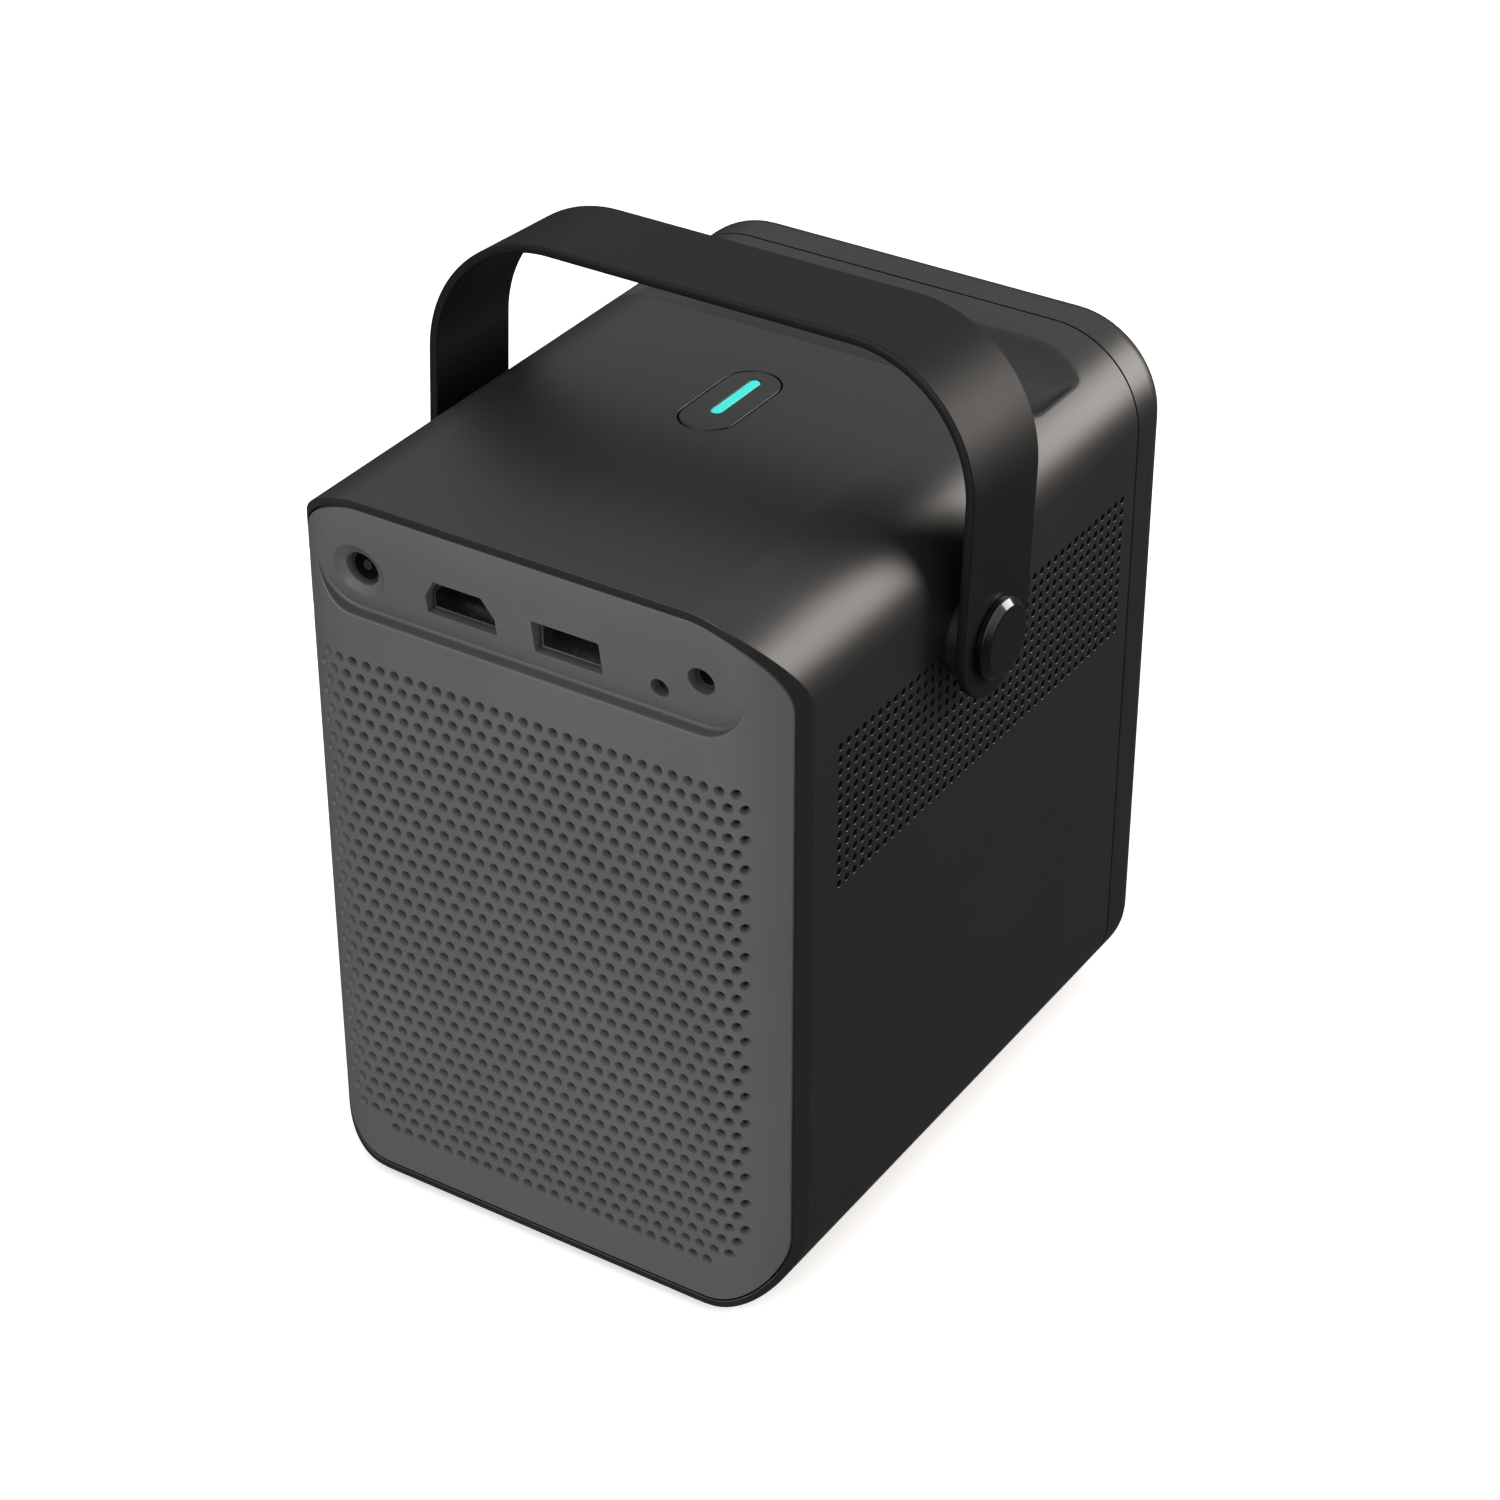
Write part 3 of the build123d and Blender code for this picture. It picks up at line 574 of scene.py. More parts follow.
def channel_height(x, y):
    """Height of the top skin with the handle channel pressed into it."""
    skin = outer_height(x)
    away = y - REST_Y
    if abs(away) > REST_REACH or abs(x) > REST_END:
        return skin
    trough = TOP - REST_DEPTH + REST_R - sqrt(REST_R ** 2 - away ** 2)
    over = max(abs(x) - (REST_END - REST_END_R), 0.0)
    end = TOP - REST_DEPTH + REST_END_R - sqrt(max(REST_END_R ** 2 - over ** 2, 0.0))
    floor = soft_max(trough, end, 1.6)
    return -soft_max(-skin, -floor, 1.1)


def skin_point(line, y, inset=0.0):
    """Position and facing of the wrap at a section line and depth."""
    (x, z), (nx, nz) = line
    facing = Vector((nx, 0.0, nz))
    if z > TOP - 9 and abs(y - REST_Y) < REST_REACH and channel_height(x, y) < outer_height(x) - 1e-6:
        step = 0.02
        z = channel_height(x, y)
        slope_x = (channel_height(x + step, y) - channel_height(x - step, y)) / (2 * step)
        slope_y = (channel_height(x, y + step) - channel_height(x, y - step)) / (2 * step)
        facing = Vector((-slope_x, -slope_y, 1.0)).normalized()
    place = Vector((x, y, z)) - inset * facing
    return place, facing


def build_wrap(settings):
    """The metal wrap: one closed ring of wall with the channel, vent windows and key hole."""
    wall = mm(settings.wall)
    edge = mm(settings.edge)
    lines = section_lines()
    dense = steps_between(REST_Y - 14.1, REST_Y + 14.1, 60)
    extra = [REST_Y + side * 12.4 + off for side in (-1, 1) for off in (-0.25, -0.1, 0.05, 0.2, 0.35)]
    across = [SHELL_FRONT + 1.5, VENT_Y0, -55.0] + sorted(dense + extra)
    across += [-20.0, PATCH_Y, -4.0, INSERT_PATCH_END, KEY_PATCH_END, 33.0, 44.0, VENT_Y1]
    shape = fresh()
    columns = []
    for line in lines:
        ring = []
        for inset, back in reversed(rounding(edge)):
            x, z = at_inset(line, inset)
            facing = (line[1][0], 0.0, line[1][1]) if inset == 0 else (0.0, 0.0, 0.0)
            ring.append(dot(shape, (x, SHELL_FRONT + back, z), facing))
        for y in across:
            ring.append(dot(shape, *skin_point(line, y)))
        end = rear_edge(line[0][0]) - edge
        for part in (0.3, 0.6, 0.85):
            ring.append(dot(shape, *skin_point(line, VENT_Y1 + (end - VENT_Y1) * part)))
        rim = rounding(edge)
        rim += [(wall * part, 0.0) for part in (0.35, 0.65)]
        rim += [(wall - inset, back) for inset, back in reversed(rounding(edge))]
        for inset, back in rim:
            x, z = at_inset(line, inset)
            if inset == 0 or inset == wall:
                facing = Vector((line[1][0], 0.0, line[1][1])) * (1 if inset == 0 else -1)
            elif back < 1e-6:
                facing = Vector(rear_bend(unrolled(x), z)[1])
            else:
                facing = Vector((0.0, 0.0, 0.0))
            ring.append(dot(shape, (x, rear_edge(x) - back, z), facing))
        for y in reversed(across):
            place, facing = skin_point(line, y, wall)
            ring.append(dot(shape, place, -facing))
        for inset, back in rounding(edge):
            x, z = at_inset(line, wall - inset)
            ring.append(dot(shape, (x, SHELL_FRONT + back, z)))
        columns.append(ring)
    first = len(rounding(edge))
    total = len(columns[0])
    inner = total - first - 1
    outer_of = {y: first + i for i, y in enumerate(across)}
    inner_of = {y: inner - i for i, y in enumerate(across)}
    top_cut = [i for i, line in enumerate(lines) if line[0][1] == TOP and abs(line[0][0]) < 9.01]
    low_cut = [i for i, line in enumerate(lines) if line[0][1] == BASE and abs(line[0][0]) < 9.51]
    cuts = [(top_cut, PATCH_Y, KEY_PATCH_END), (low_cut, PATCH_Y, INSERT_PATCH_END)]
    for sign in (1, -1):
        rows = [i for i, line in enumerate(lines)
                if line[0][0] == sign * HALF and VENT_Z0 <= line[0][1] <= VENT_Z1]
        cuts.append((rows, VENT_Y0, VENT_Y1))
    gone = set()
    for rows, y0, y1 in cuts:
        for layer in (outer_of, inner_of):
            spots = [layer[y] for y in across if y0 <= y <= y1]
            for i in rows[:-1]:
                gone |= {(i, k) for k in range(min(spots), max(spots))}
    for i, ring in enumerate(columns):
        following = columns[(i + 1) % len(columns)]
        for k in range(total):
            if (i, k) not in gone:
                n = (k + 1) % total
                quad(shape, ring[k], following[k], following[n], ring[n])
    for rows, y0, y1 in cuts[2:]:
        ys = [y for y in across if y0 <= y <= y1]
        for i in (rows[0], rows[-1]):
            bridge(shape, [columns[i][outer_of[y]] for y in ys],
                   [columns[i][inner_of[y]] for y in ys], closed=False)
        for y in (y0, y1):
            bridge(shape, [columns[i][outer_of[y]] for i in rows],
                   [columns[i][inner_of[y]] for i in rows], closed=False)
    for level, face, ring, cut in (
            (TOP, 1, lambda grow: key_outline(KEY_GAP + grow), cuts[0]),
            (BASE, -1, lambda grow: circle(0, 0, INSERT_R + grow), cuts[1])):
        rows, y0, y1 = cut
        xs = sorted(lines[i][0][0] for i in rows)
        ys = [y for y in across if y0 <= y <= y1]
        border = ([(x, y0) for x in xs[:-1]] + [(xs[-1], y) for y in ys[:-1]]
                  + [(x, y1) for x in reversed(xs[1:])] + [(xs[0], y) for y in reversed(ys[1:])])
        fill(shape, border, [ring(0.25)], [], lambda x, y: ((x, y, level), (0, 0, face)))
        fill(shape, border, [ring(0.0)], [], lambda x, y: ((x, y, level - face * wall), (0, 0, -face)))
        rings = []
        for inset, back in rounding(0.25):
            rings.append([dot(shape, (x, y, level - face * back)) for x, y in ring(inset)])
        rings.reverse()
        rings.append([dot(shape, (x, y, level - face * wall)) for x, y in ring(0.0)])
        loft(shape, rings)
    return make_piece("case_wrap", shape, "case_shell", "case", ("sleeve",))


# ---------------------------------------------------------------- perforated sheets
def tile_object(name, across, up, split, mouth, bore, flare, thick):
    """One tile of a perforated sheet: flat rim, flared mouth, bore and back."""
    wide, high = split
    rim = [(-across / 2 + across * i / wide, -up / 2) for i in range(wide)]
    rim += [(across / 2, -up / 2 + up * i / high) for i in range(high)]
    rim += [(across / 2 - across * i / wide, up / 2) for i in range(wide)]
    rim += [(-across / 2, up / 2 - up * i / high) for i in range(high)]
    count = len(rim)
    turn = radians(225)
    round_rim = [(cos(turn + 2 * pi * i / count), sin(turn + 2 * pi * i / count))
                 for i in range(count)]
    shape = bmesh.new()
    levels = [[(x, y, 0.0) for x, y in rim]]
    for radius, depth in [(mouth / 2, 0.0), (bore / 2, flare)][0 if flare else 1:]:
        levels.append([(x * radius, y * radius, -depth) for x, y in round_rim])
    levels.append([(x * bore / 2, y * bore / 2, -thick) for x, y in round_rim])
    levels.append([(x, y, -thick) for x, y in rim])
    rows = [[shape.verts.new(Vector(p) * MM) for p in level] for level in levels]
    for one, two in zip(rows, rows[1:]):
        for i in range(count):
            k = (i + 1) % count
            shape.faces.new((one[i], one[k], two[k], two[i]))
    mesh = bpy.data.meshes.new(name)
    shape.to_mesh(mesh)
    shape.free()
    return bpy.data.objects.new(name, mesh)


def perforation_tree():
    """Node tree: a grid of tiles, staggered and trimmed at its lower corners, as one mesh."""
    tree = bpy.data.node_groups.new("Perforated sheet", "GeometryNodeTree")
    sockets = (("Geometry", "Geometry", None), ("Tile", "Object", None), ("Columns", "Int", 10),
               ("Rows", "Int", 10), ("Across", "Float", 0.003), ("Up", "Float", 0.003),
               ("Stagger", "Float", 0.0), ("Corner start", "Float", 1000.0),
               ("Corner slope", "Float", 0.0), ("Material", "Material", None))
    for name, kind, default in sockets:
        made = tree.interface.new_socket(name, in_out="INPUT", socket_type="NodeSocket" + kind)
        if default is not None:
            made.default_value = default
    tree.interface.new_socket("Geometry", in_out="OUTPUT", socket_type="NodeSocketGeometry")
    given = add(tree, "NodeGroupInput").outputs

    def calc(operation, one, two=0.0):
        return add(tree, "ShaderNodeMath", {0: one, 1: two}, operation=operation).outputs[0]

    wide = calc("MULTIPLY", calc("SUBTRACT", given["Columns"], 1.0), given["Across"])
    high = calc("MULTIPLY", calc("SUBTRACT", given["Rows"], 1.0), given["Up"])
    grid = add(tree, "GeometryNodeMeshGrid", {"Size X": wide, "Size Y": high,
                                              "Vertices X": given["Columns"],
                                              "Vertices Y": given["Rows"]}).outputs["Mesh"]
    place = add(tree, "ShaderNodeSeparateXYZ",
                {0: add(tree, "GeometryNodeInputPosition").outputs[0]}).outputs
    row = calc("ROUND", calc("DIVIDE", calc("ADD", place["Y"], calc("MULTIPLY", high, 0.5)),
                             given["Up"]))
    narrow = calc("SUBTRACT", 1.0, calc("MODULO", row, 2.0))
    shift = calc("MULTIPLY", calc("MULTIPLY", narrow, 0.5),
                 calc("MULTIPLY", given["Stagger"], given["Across"]))
    move = add(tree, "ShaderNodeCombineXYZ", {"X": shift}).outputs[0]
    moved = add(tree, "GeometryNodeSetPosition", {"Geometry": grid, "Offset": move}).outputs[0]
    reach = calc("DIVIDE", calc("ABSOLUTE", calc("ADD", place["X"], shift)), given["Across"])
    corner = calc("ADD", given["Corner start"], calc("MULTIPLY", row, given["Corner slope"]))
    side = calc("ADD", calc("MULTIPLY", given["Columns"], 0.5), -0.4)
    over = calc("GREATER_THAN", reach, calc("MINIMUM", corner, side))
    kept = add(tree, "GeometryNodeDeleteGeometry", {"Geometry": moved, "Selection": over},
               domain="POINT").outputs[0]
    tile = add(tree, "GeometryNodeObjectInfo", {"Object": given["Tile"]}).outputs["Geometry"]
    spread = add(tree, "GeometryNodeInstanceOnPoints", {"Points": kept, "Instance": tile}).outputs[0]
    real = add(tree, "GeometryNodeRealizeInstances", {"Geometry": spread}).outputs[0]
    joined = add(tree, "GeometryNodeMergeByDistance", {"Geometry": real, "Distance": 5e-6}).outputs[0]
    painted = add(tree, "GeometryNodeSetMaterial",
                  {"Geometry": joined, "Material": given["Material"]}).outputs[0]
    add(tree, "NodeGroupOutput", {"Geometry": painted})
    return tree


def bake_tree(name, tree, values):
    """Runs a node tree on an empty mesh and returns the result as a shape in millimetres."""
    holder = bpy.data.objects.new(name, bpy.data.meshes.new(name))
    bpy.context.scene.collection.objects.link(holder)
    modifier = holder.modifiers.new(name, "NODES")
    modifier.node_group = tree
    keys = {item.name: item.identifier for item in tree.interface.items_tree
            if item.in_out == "INPUT"}
    for key, value in values.items():
        modifier[keys[key]] = value
    graph = bpy.context.evaluated_depsgraph_get()
    plain = bpy.data.meshes.new_from_object(holder.evaluated_get(graph))
    shape = fresh()
    shape.from_mesh(plain)
    if "facing" not in shape.verts.layers.float_vector:
        shape.verts.layers.float_vector.new("facing")
    bmesh.ops.scale(shape, vec=(1 / MM, 1 / MM, 1 / MM), verts=shape.verts)
    bpy.data.objects.remove(holder)
    bpy.data.meshes.remove(plain)
    return shape


def border_loops(shape):
    """The open edges of a shape, as ordered loops of points."""
    following = {}
    for edge in shape.edges:
        if len(edge.link_faces) == 1:
            one, two = edge.verts
            following.setdefault(one, []).append(two)
            following.setdefault(two, []).append(one)
    loops = []
    seen = set()
    for start in following:
        if start in seen:
            continue
        loop = [start]
        seen.add(start)
        while True:
            step = [v for v in following[loop[-1]] if v not in seen]
            if not step:
                break
            loop.append(step[0])
            seen.add(step[0])
        loops.append(loop)
    return loops


def build_side_grilles(settings, case, tree):
    """The perforated band in each side wall, flush with the wrap."""
    wall = mm(case.wall)
    columns = settings.side_columns
    rows = settings.side_rows
    across = (VENT_Y1 - VENT_Y0) / columns
    up = (VENT_Z1 - VENT_Z0) / rows
    hole = mm(settings.side_hole)
    tile = tile_object("side_tile", across, up, (3, 3), hole + 0.16, hole, 0.08, wall)
    for sign, name in ((1, "left"), (-1, "right")):
        shape = bake_tree("side_band", tree, {
            "Tile": tile, "Columns": columns, "Rows": rows, "Across": across * MM, "Up": up * MM,
            "Material": FINISH["case_shell"]})
        front, back = sorted(border_loops(shape), key=lambda loop: -loop[0].co.z)
        seat = {(round(v.co.x, 2), round(v.co.y, 2)): v for v in back}
        bridge(shape, front, [seat[round(v.co.x, 2), round(v.co.y, 2)] for v in front])
        layer = shape.verts.layers.float_vector["facing"]
        for v in shape.verts:
            x, y, z = v.co
            v.co = (sign * (HALF + z), (VENT_Y0 + VENT_Y1) / 2 + x, (VENT_Z0 + VENT_Z1) / 2 + y)
            if z > -0.01 or z < 0.01 - wall:
                v[layer] = (sign, 0, 0)
        make_piece("vent_band_" + name, shape, "case_shell", "case", ("vent_grille_" + name,))
        # Thin black sheet behind the holes: painted shade standing in for the dark inside of the case.
        shade_sheet = fresh()
        inner = sign * (HALF - wall - 0.05)
        rim = box_outline((VENT_Y0 + VENT_Y1) / 2, (VENT_Z0 + VENT_Z1) / 2,
                          VENT_Y1 - VENT_Y0 - 1, VENT_Z1 - VENT_Z0 - 1, 2.0)
        for x, facing in ((inner, sign), (inner - sign * 0.12, -sign)):
            fill(shade_sheet, rim, [], [], lambda u, v, x=x, facing=facing: ((x, u, v), (facing, 0, 0)))
        bridge(shade_sheet, [dot(shade_sheet, (inner, u, v)) for u, v in rim],
               [dot(shade_sheet, (inner - sign * 0.12, u, v)) for u, v in rim])
        make_piece("vent_cloth_" + name, shade_sheet, "engine_black")
    bpy.data.objects.remove(tile)


# ---------------------------------------------------------------- rear panel
def skin_depth(x):
    """How far the rounded rear lies in front of its rearmost plane."""
    return REAR - rear_edge(x)


def pocket_depth(x, z):
    """Depth of the socket recess below the rearmost plane."""
    slope = POCKET_DEPTH * (POCKET_Z1 - z) / (POCKET_Z1 - POCKET_Z0)
    return soft_max(skin_depth(x), slope, 0.35)


def pocket_place(x, z):
    """Position and facing of the recess floor."""
    step = 0.02
    slope_x = (pocket_depth(x + step, z) - pocket_depth(x - step, z)) / (2 * step)
    slope_z = (pocket_depth(x, z + step) - pocket_depth(x, z - step)) / (2 * step)
    return (x, REAR - pocket_depth(x, z), z), Vector((slope_x, 1.0, slope_z)).normalized()


def pocket_rim():
    """Outline of the recess: (x, z) and its outward direction, anticlockwise from the upper right."""
    top_side = POCKET_Z1 + 2.3
    rim = []
    for x in reversed(steps_between(-POCKET_HALF, POCKET_HALF, 60)):
        rim.append(((x, top_side - 6 * skin_depth(x)), (0.0, 1.0)))
    low = POCKET_Z0 + POCKET_CORNER
    high = rim[-1][0][1]
    for z in steps_between(high, low, 3)[1:-1]:
        rim.append(((-POCKET_HALF, z), (-1.0, 0.0)))
    middle = POCKET_HALF - POCKET_CORNER
    for i in range(19):
        turn = radians(180 + 5 * i)
        rim.append(((-middle + POCKET_CORNER * cos(turn), low + POCKET_CORNER * sin(turn)),
                    (cos(turn), sin(turn))))
    for x in steps_between(-middle, middle, 26)[1:-1]:
        rim.append(((x, POCKET_Z0), (0.0, -1.0)))
    for i in range(19):
        turn = radians(270 + 5 * i)
        rim.append(((middle + POCKET_CORNER * cos(turn), low + POCKET_CORNER * sin(turn)),
                    (cos(turn), sin(turn))))
    for z in steps_between(low, high, 3)[1:-1]:
        rim.append(((POCKET_HALF, z), (1.0, 0.0)))
    return rim


def socket_mouths():
    """Each hole of the recess: its outline by growth, and its (growth, depth) profile."""
    def video(grow):
        wide, high = 15.6 / 2 + grow, 7.6 / 2 + grow
        x, z = VIDEO
        return [(x - wide, z - high), (x + wide, z - high), (x + wide, z - 0.15),
                (x + 0.68 * wide, z + high), (x - 0.68 * wide, z + high), (x - wide, z - 0.15)]

    def data(grow):
        return box_outline(*DATA, 14.8 + 2 * grow, 7.0 + 2 * grow, 0.4 + grow, 3)

    lip = [(0.3, 0.0), (0.09, 0.09), (0.0, 0.3)]
    dish = [(2.4, 0.0), (2.15, 0.1), (2.0, 0.3), (0.15, 1.05), (0.0, 1.3)]
    return [(video, lip), (data, lip), (lambda grow: circle(*DC, 3.6 + grow), dish),
            (lambda grow: circle(*SENSOR, 1.9 + grow, 32), lip),
            (lambda grow: circle(*AUDIO, 2.8 + grow, 32), lip)]


def build_rear(settings, tree):
    """The moulded back: bent skin with the dimple field, the recess, its mouths and the skirt."""
    across = mm(settings.rear_across)
    up = mm(settings.rear_up)
    thick = REAR_THICK
    rows = settings.rear_rows
    middle = mm(settings.rear_low) + up * (rows - 1) / 2
    tile = tile_object("rear_tile", across, up, (4, 2), mm(settings.rear_mouth),
                       mm(settings.rear_bore), 0.75, thick)
    shape = bake_tree("rear_field", tree, {
        "Tile": tile, "Columns": settings.rear_columns, "Rows": rows, "Across": across * MM,
        "Up": up * MM, "Stagger": 1.0, "Corner start": 12.2, "Corner slope": 1.5,
        "Material": FINISH["rear_plastic"]})
    bpy.data.objects.remove(tile)
    loops = sorted(border_loops(shape), key=lambda loop: -loop[0].co.z)
    front_hole = [(v.co.x, v.co.y + middle) for v in loops[0]]
    back_hole = [(v.co.x, v.co.y + middle) for v in loops[-1]]
    layer = shape.verts.layers.float_vector["facing"]
    for v in shape.verts:
        depth = -v.co.z
        place, facing = rear_bend(v.co.x, v.co.y + middle, depth)
        v.co = place
        if depth < 0.01 or depth > thick - 0.01:
            v[layer] = facing
    lines = section_lines(24, 18)
    edge = 0.25
    gap = REAR_GAP

    def skin_loop(inset):
        return [(unrolled(x), z) for x, z in (at_inset(line, inset) for line in lines)]

    rim = pocket_rim()
    drop = [pocket_depth(x, z) - skin_depth(x) for (x, z), _ in rim]
    lip = [min(0.5, 0.45 * max(h, 0.0)) for h in drop]
    toe = [min(0.7, 0.45 * max(h, 0.0)) for h in drop]
    mouth = [(x + r * nx, z + r * nz) for ((x, z), (nx, nz)), r in zip(rim, lip)]
    bend_grid = [(side * s, z) for side in (-1, 1) for s in steps_between(38.5, 56, 14)
                 for z in steps_between(4, 158, 40)]
    flat_grid = [(x, z) for x in steps_between(-36, 36, 12) for z in (8, 130, 156)]
    fill(shape, skin_loop(gap + edge), [front_hole, [(unrolled(x), z) for x, z in mouth]],
         bend_grid + flat_grid, rear_bend)

    # rounded lip, wall and toe of the recess
    rings = []
    for i in range(4):
        turn = radians(30 * i)
        ring = []
        for ((x, z), (nx, nz)), r in zip(rim, lip):
            px, pz = x + r * (1 - sin(turn)) * nx, z + r * (1 - sin(turn)) * nz
            ring.append(dot(shape, (px, REAR - skin_depth(px) - r * (1 - cos(turn)), pz)))
        rings.append(ring)
    for i in range(4):
        turn = radians(30 * i)
        ring = []
        for ((x, z), (nx, nz)), r in zip(rim, toe):
            px, pz = x - r * nx, z - r * nz
            low = pocket_depth(px, pz)
            px, pz = x - r * (1 - cos(turn)) * nx, z - r * (1 - cos(turn)) * nz
            ring.append(dot(shape, (px, REAR - low + r * (1 - sin(turn)), pz)))
        rings.append(ring)
    loft(shape, rings)
    floor = [(x - r * nx, z - r * nz) for ((x, z), (nx, nz)), r in zip(rim, toe)]
    mouths = socket_mouths()
    floor_grid = [(x, z) for x in steps_between(-48, 48, 64) for z in steps_between(136, 156, 16)]
    fill(shape, floor, [ring(profile[0][0]) for ring, profile in mouths], floor_grid, pocket_place)
    back = 5.2
    for ring, profile in mouths:
        rings = []
        for grow, sink in profile:
            rings.append([dot(shape, (x, REAR - pocket_depth(x, z) - sink, z)) for x, z in ring(grow)])
        rings.append([dot(shape, (x, REAR - back, z)) for x, z in ring(0.0)])
        loft(shape, rings)
    plate = box_outline(0, 143.5, 97.2, 23.0, 2.0)
    fill(shape, plate, [ring(0.0) for ring, _ in mouths], [],
         lambda x, z: ((x, REAR - back, z), (0, -1, 0)))

    # back of the skin, the block behind the recess, and the skirt that plugs into the wrap
    def inner_s(x):
        over = abs(x) - REAR_FLAT
        if over <= 0:
            return x
        return (REAR_FLAT + REAR_R * asin(over / (REAR_R - thick))) * (1 if x > 0 else -1)

    inner_rim = [(inner_s(x), z) for x, z in (at_inset(line, gap + thick) for line in lines)]
    block = [(inner_s(x), z) for x, z in plate]
    fill(shape, inner_rim, [back_hole, block], bend_grid, lambda s, z: rear_bend(s, z, thick))
    bridge(shape, [dot(shape, rear_bend(s, z, thick)[0]) for s, z in block],
           [dot(shape, (x, REAR - back, z)) for x, z in plate])
    skirt = REAR - REAR_R
    rings = []
    for inset, setback in reversed(rounding(edge)):
        ring = []
        for line in lines:
            x, z = at_inset(line, gap + inset)
            ring.append(dot(shape, (x, rear_edge(x) - setback, z)))
        rings.append(ring)
    for inset in (gap, gap + thick):
        ends = [at_inset(line, inset) for line in lines]
        rings.append([dot(shape, (x, skirt, z)) for x, z in ends])
    rings.append([dot(shape, rear_bend(s, z, thick)[0]) for s, z in inner_rim])
    loft(shape, rings)
    make_piece("rear_back", shape, "rear_plastic", "case", ("rear_panel",))

    # Thin black sheet behind the dimple field: painted shade standing in for the dark inside behind the
    # holes.
    shade_sheet = fresh()
    rim = box_outline(0, 69, 102.5, 116, 10.0)
    grid = [(s, z) for s in steps_between(-52, 52, 40) for z in steps_between(12, 126, 6)]
    for depth in (thick + 0.05, thick + 0.2):
        fill(shade_sheet, rim, [], grid, lambda s, z, depth=depth: rear_bend(s, z, depth))
    bridge(shade_sheet, [dot(shade_sheet, rear_bend(s, z, thick + 0.05)[0]) for s, z in rim],
           [dot(shade_sheet, rear_bend(s, z, thick + 0.2)[0]) for s, z in rim])
    make_piece("rear_cloth", shade_sheet, "engine_black")


# ---------------------------------------------------------------- handle
def build_handle(settings):
    """The strap: one sheet bent over two pivots, with round ends and softened edges."""
    thick = mm(settings.thick)
    bend = mm(settings.bend)
    edge = mm(settings.edge)
    half = mm(settings.wide) / 2
    low = PIVOT_Z
    top = PIVOT_Z + mm(settings.rise)
    rise = top - bend - low
    flat = 2 * (STRAP_OUT - bend)
    arc = bend * pi / 2
    total = 2 * (rise + arc) + flat

    def follow(a, depth):
        if a > total / 2:
            (x, z), (nx, nz) = follow(total - a, depth)
            return (-x, z), (-nx, nz)
        if a <= rise:
            return (STRAP_OUT - depth, low + a), (1.0, 0.0)
        if a <= rise + arc:
            turn = (a - rise) / bend
            reach = bend - depth
            return ((STRAP_OUT - bend + reach * cos(turn), top - bend + reach * sin(turn)),
                    (cos(turn), sin(turn)))
        return (STRAP_OUT - bend - (a - rise - arc), top - depth), (0.0, 1.0)

    stations = steps_between(0, rise, 4)[:-1] + steps_between(rise, rise + arc, 28)
    stations += steps_between(rise + arc, total / 2, 5)[1:]
    stations += [total - a for a in reversed(stations[:-1])]

    def outline(inset):
        radius = half - inset
        turns = [radians(t) for t in (84, 72, 60, 48, 36, 24, 12)]
        rows = [(-radius * sin(turn), radius * cos(turn)) for turn in turns]
        rows = [(-radius, 0.0)] + rows + [(a, radius) for a in stations]
        rows += [(total - a, w) for a, w in reversed(rows[:8])]
        return rows

    shape = fresh()
    rings = []
    profile = list(reversed(rounding(edge)))
    profile += [(inset, thick - back) for inset, back in rounding(edge)]
    for inset, depth in profile:
        rows = outline(inset)
        ring = []
        for a, w in rows + [(a, -w) for a, w in reversed(rows[1:-1])]:
            (x, z), (nx, nz) = follow(a, depth)
            flush = depth in (0.0, thick)
            ring.append(dot(shape, (x, PIVOT_Y + w, z), (nx, 0, nz) if flush else (0, 0, 0)))
        rings.append(ring)
    loft(shape, rings)
    for ring in (rings[0], rings[-1]):
        count = len(ring)
        for i in range(count // 2):
            quad(shape, ring[i], ring[i + 1], ring[count - i - 1], ring[(count - i) % count])
    layer = shape.verts.layers.float_vector["facing"]
    turn = Matrix.Rotation(settings.lean, 3, "X")
    pivot = Vector((0.0, PIVOT_Y, PIVOT_Z))
    for v in shape.verts:
        v.co = pivot + turn @ (v.co - pivot)
        v[layer] = turn @ v[layer]
    make_piece("handle_sheet", shape, "handle_metal", "handle", ("handle_strap",))


def lathe(shape, profile, place, count=56):
    """Turns a (radius, height) profile about a line; place turns (u, v, height) into a position."""
    rings = []
    for radius, height in profile:
        if radius < 1e-6:
            rings.append([dot(shape, place(0, 0, height))] * count)
        else:
            rings.append([dot(shape, place(u, v, height)) for u, v in circle(0, 0, radius, count)])
    loft(shape, rings)


def build_pivots():
    """Glossy bolt heads with a broad chamfer, standing for the CAD bolts."""
    inner = STRAP_OUT + 0.1
    head = BOLT_OUT - inner
    radius = (BOLT_Z1 - BOLT_Z0) / 2
    slope = 1.3
    for sign, name in ((1, "left"), (-1, "right")):
        shape = fresh()
        profile = [(0, -12), (2.5, -12), (2.5, -7.4), (4.0, -7.4), (4.0, 0.0), (radius - 0.15, 0.0),
                   (radius, 0.15), (radius, head - slope - 0.12), (radius - 0.1, head - slope + 0.1),
                   (radius - slope + 0.14, head - 0.12), (radius - slope - 0.16, head - 0.01),
                   (radius - slope - 0.4, head), (radius * 0.4, head), (0, head)]
        lathe(shape, profile, lambda u, v, h, sign=sign: (sign * (inner + h), PIVOT_Y + u, PIVOT_Z + v))
        make_piece("pivot_cap_" + name, shape, "pivot_black", "case", ("pivot_bolt_" + name,), 20)


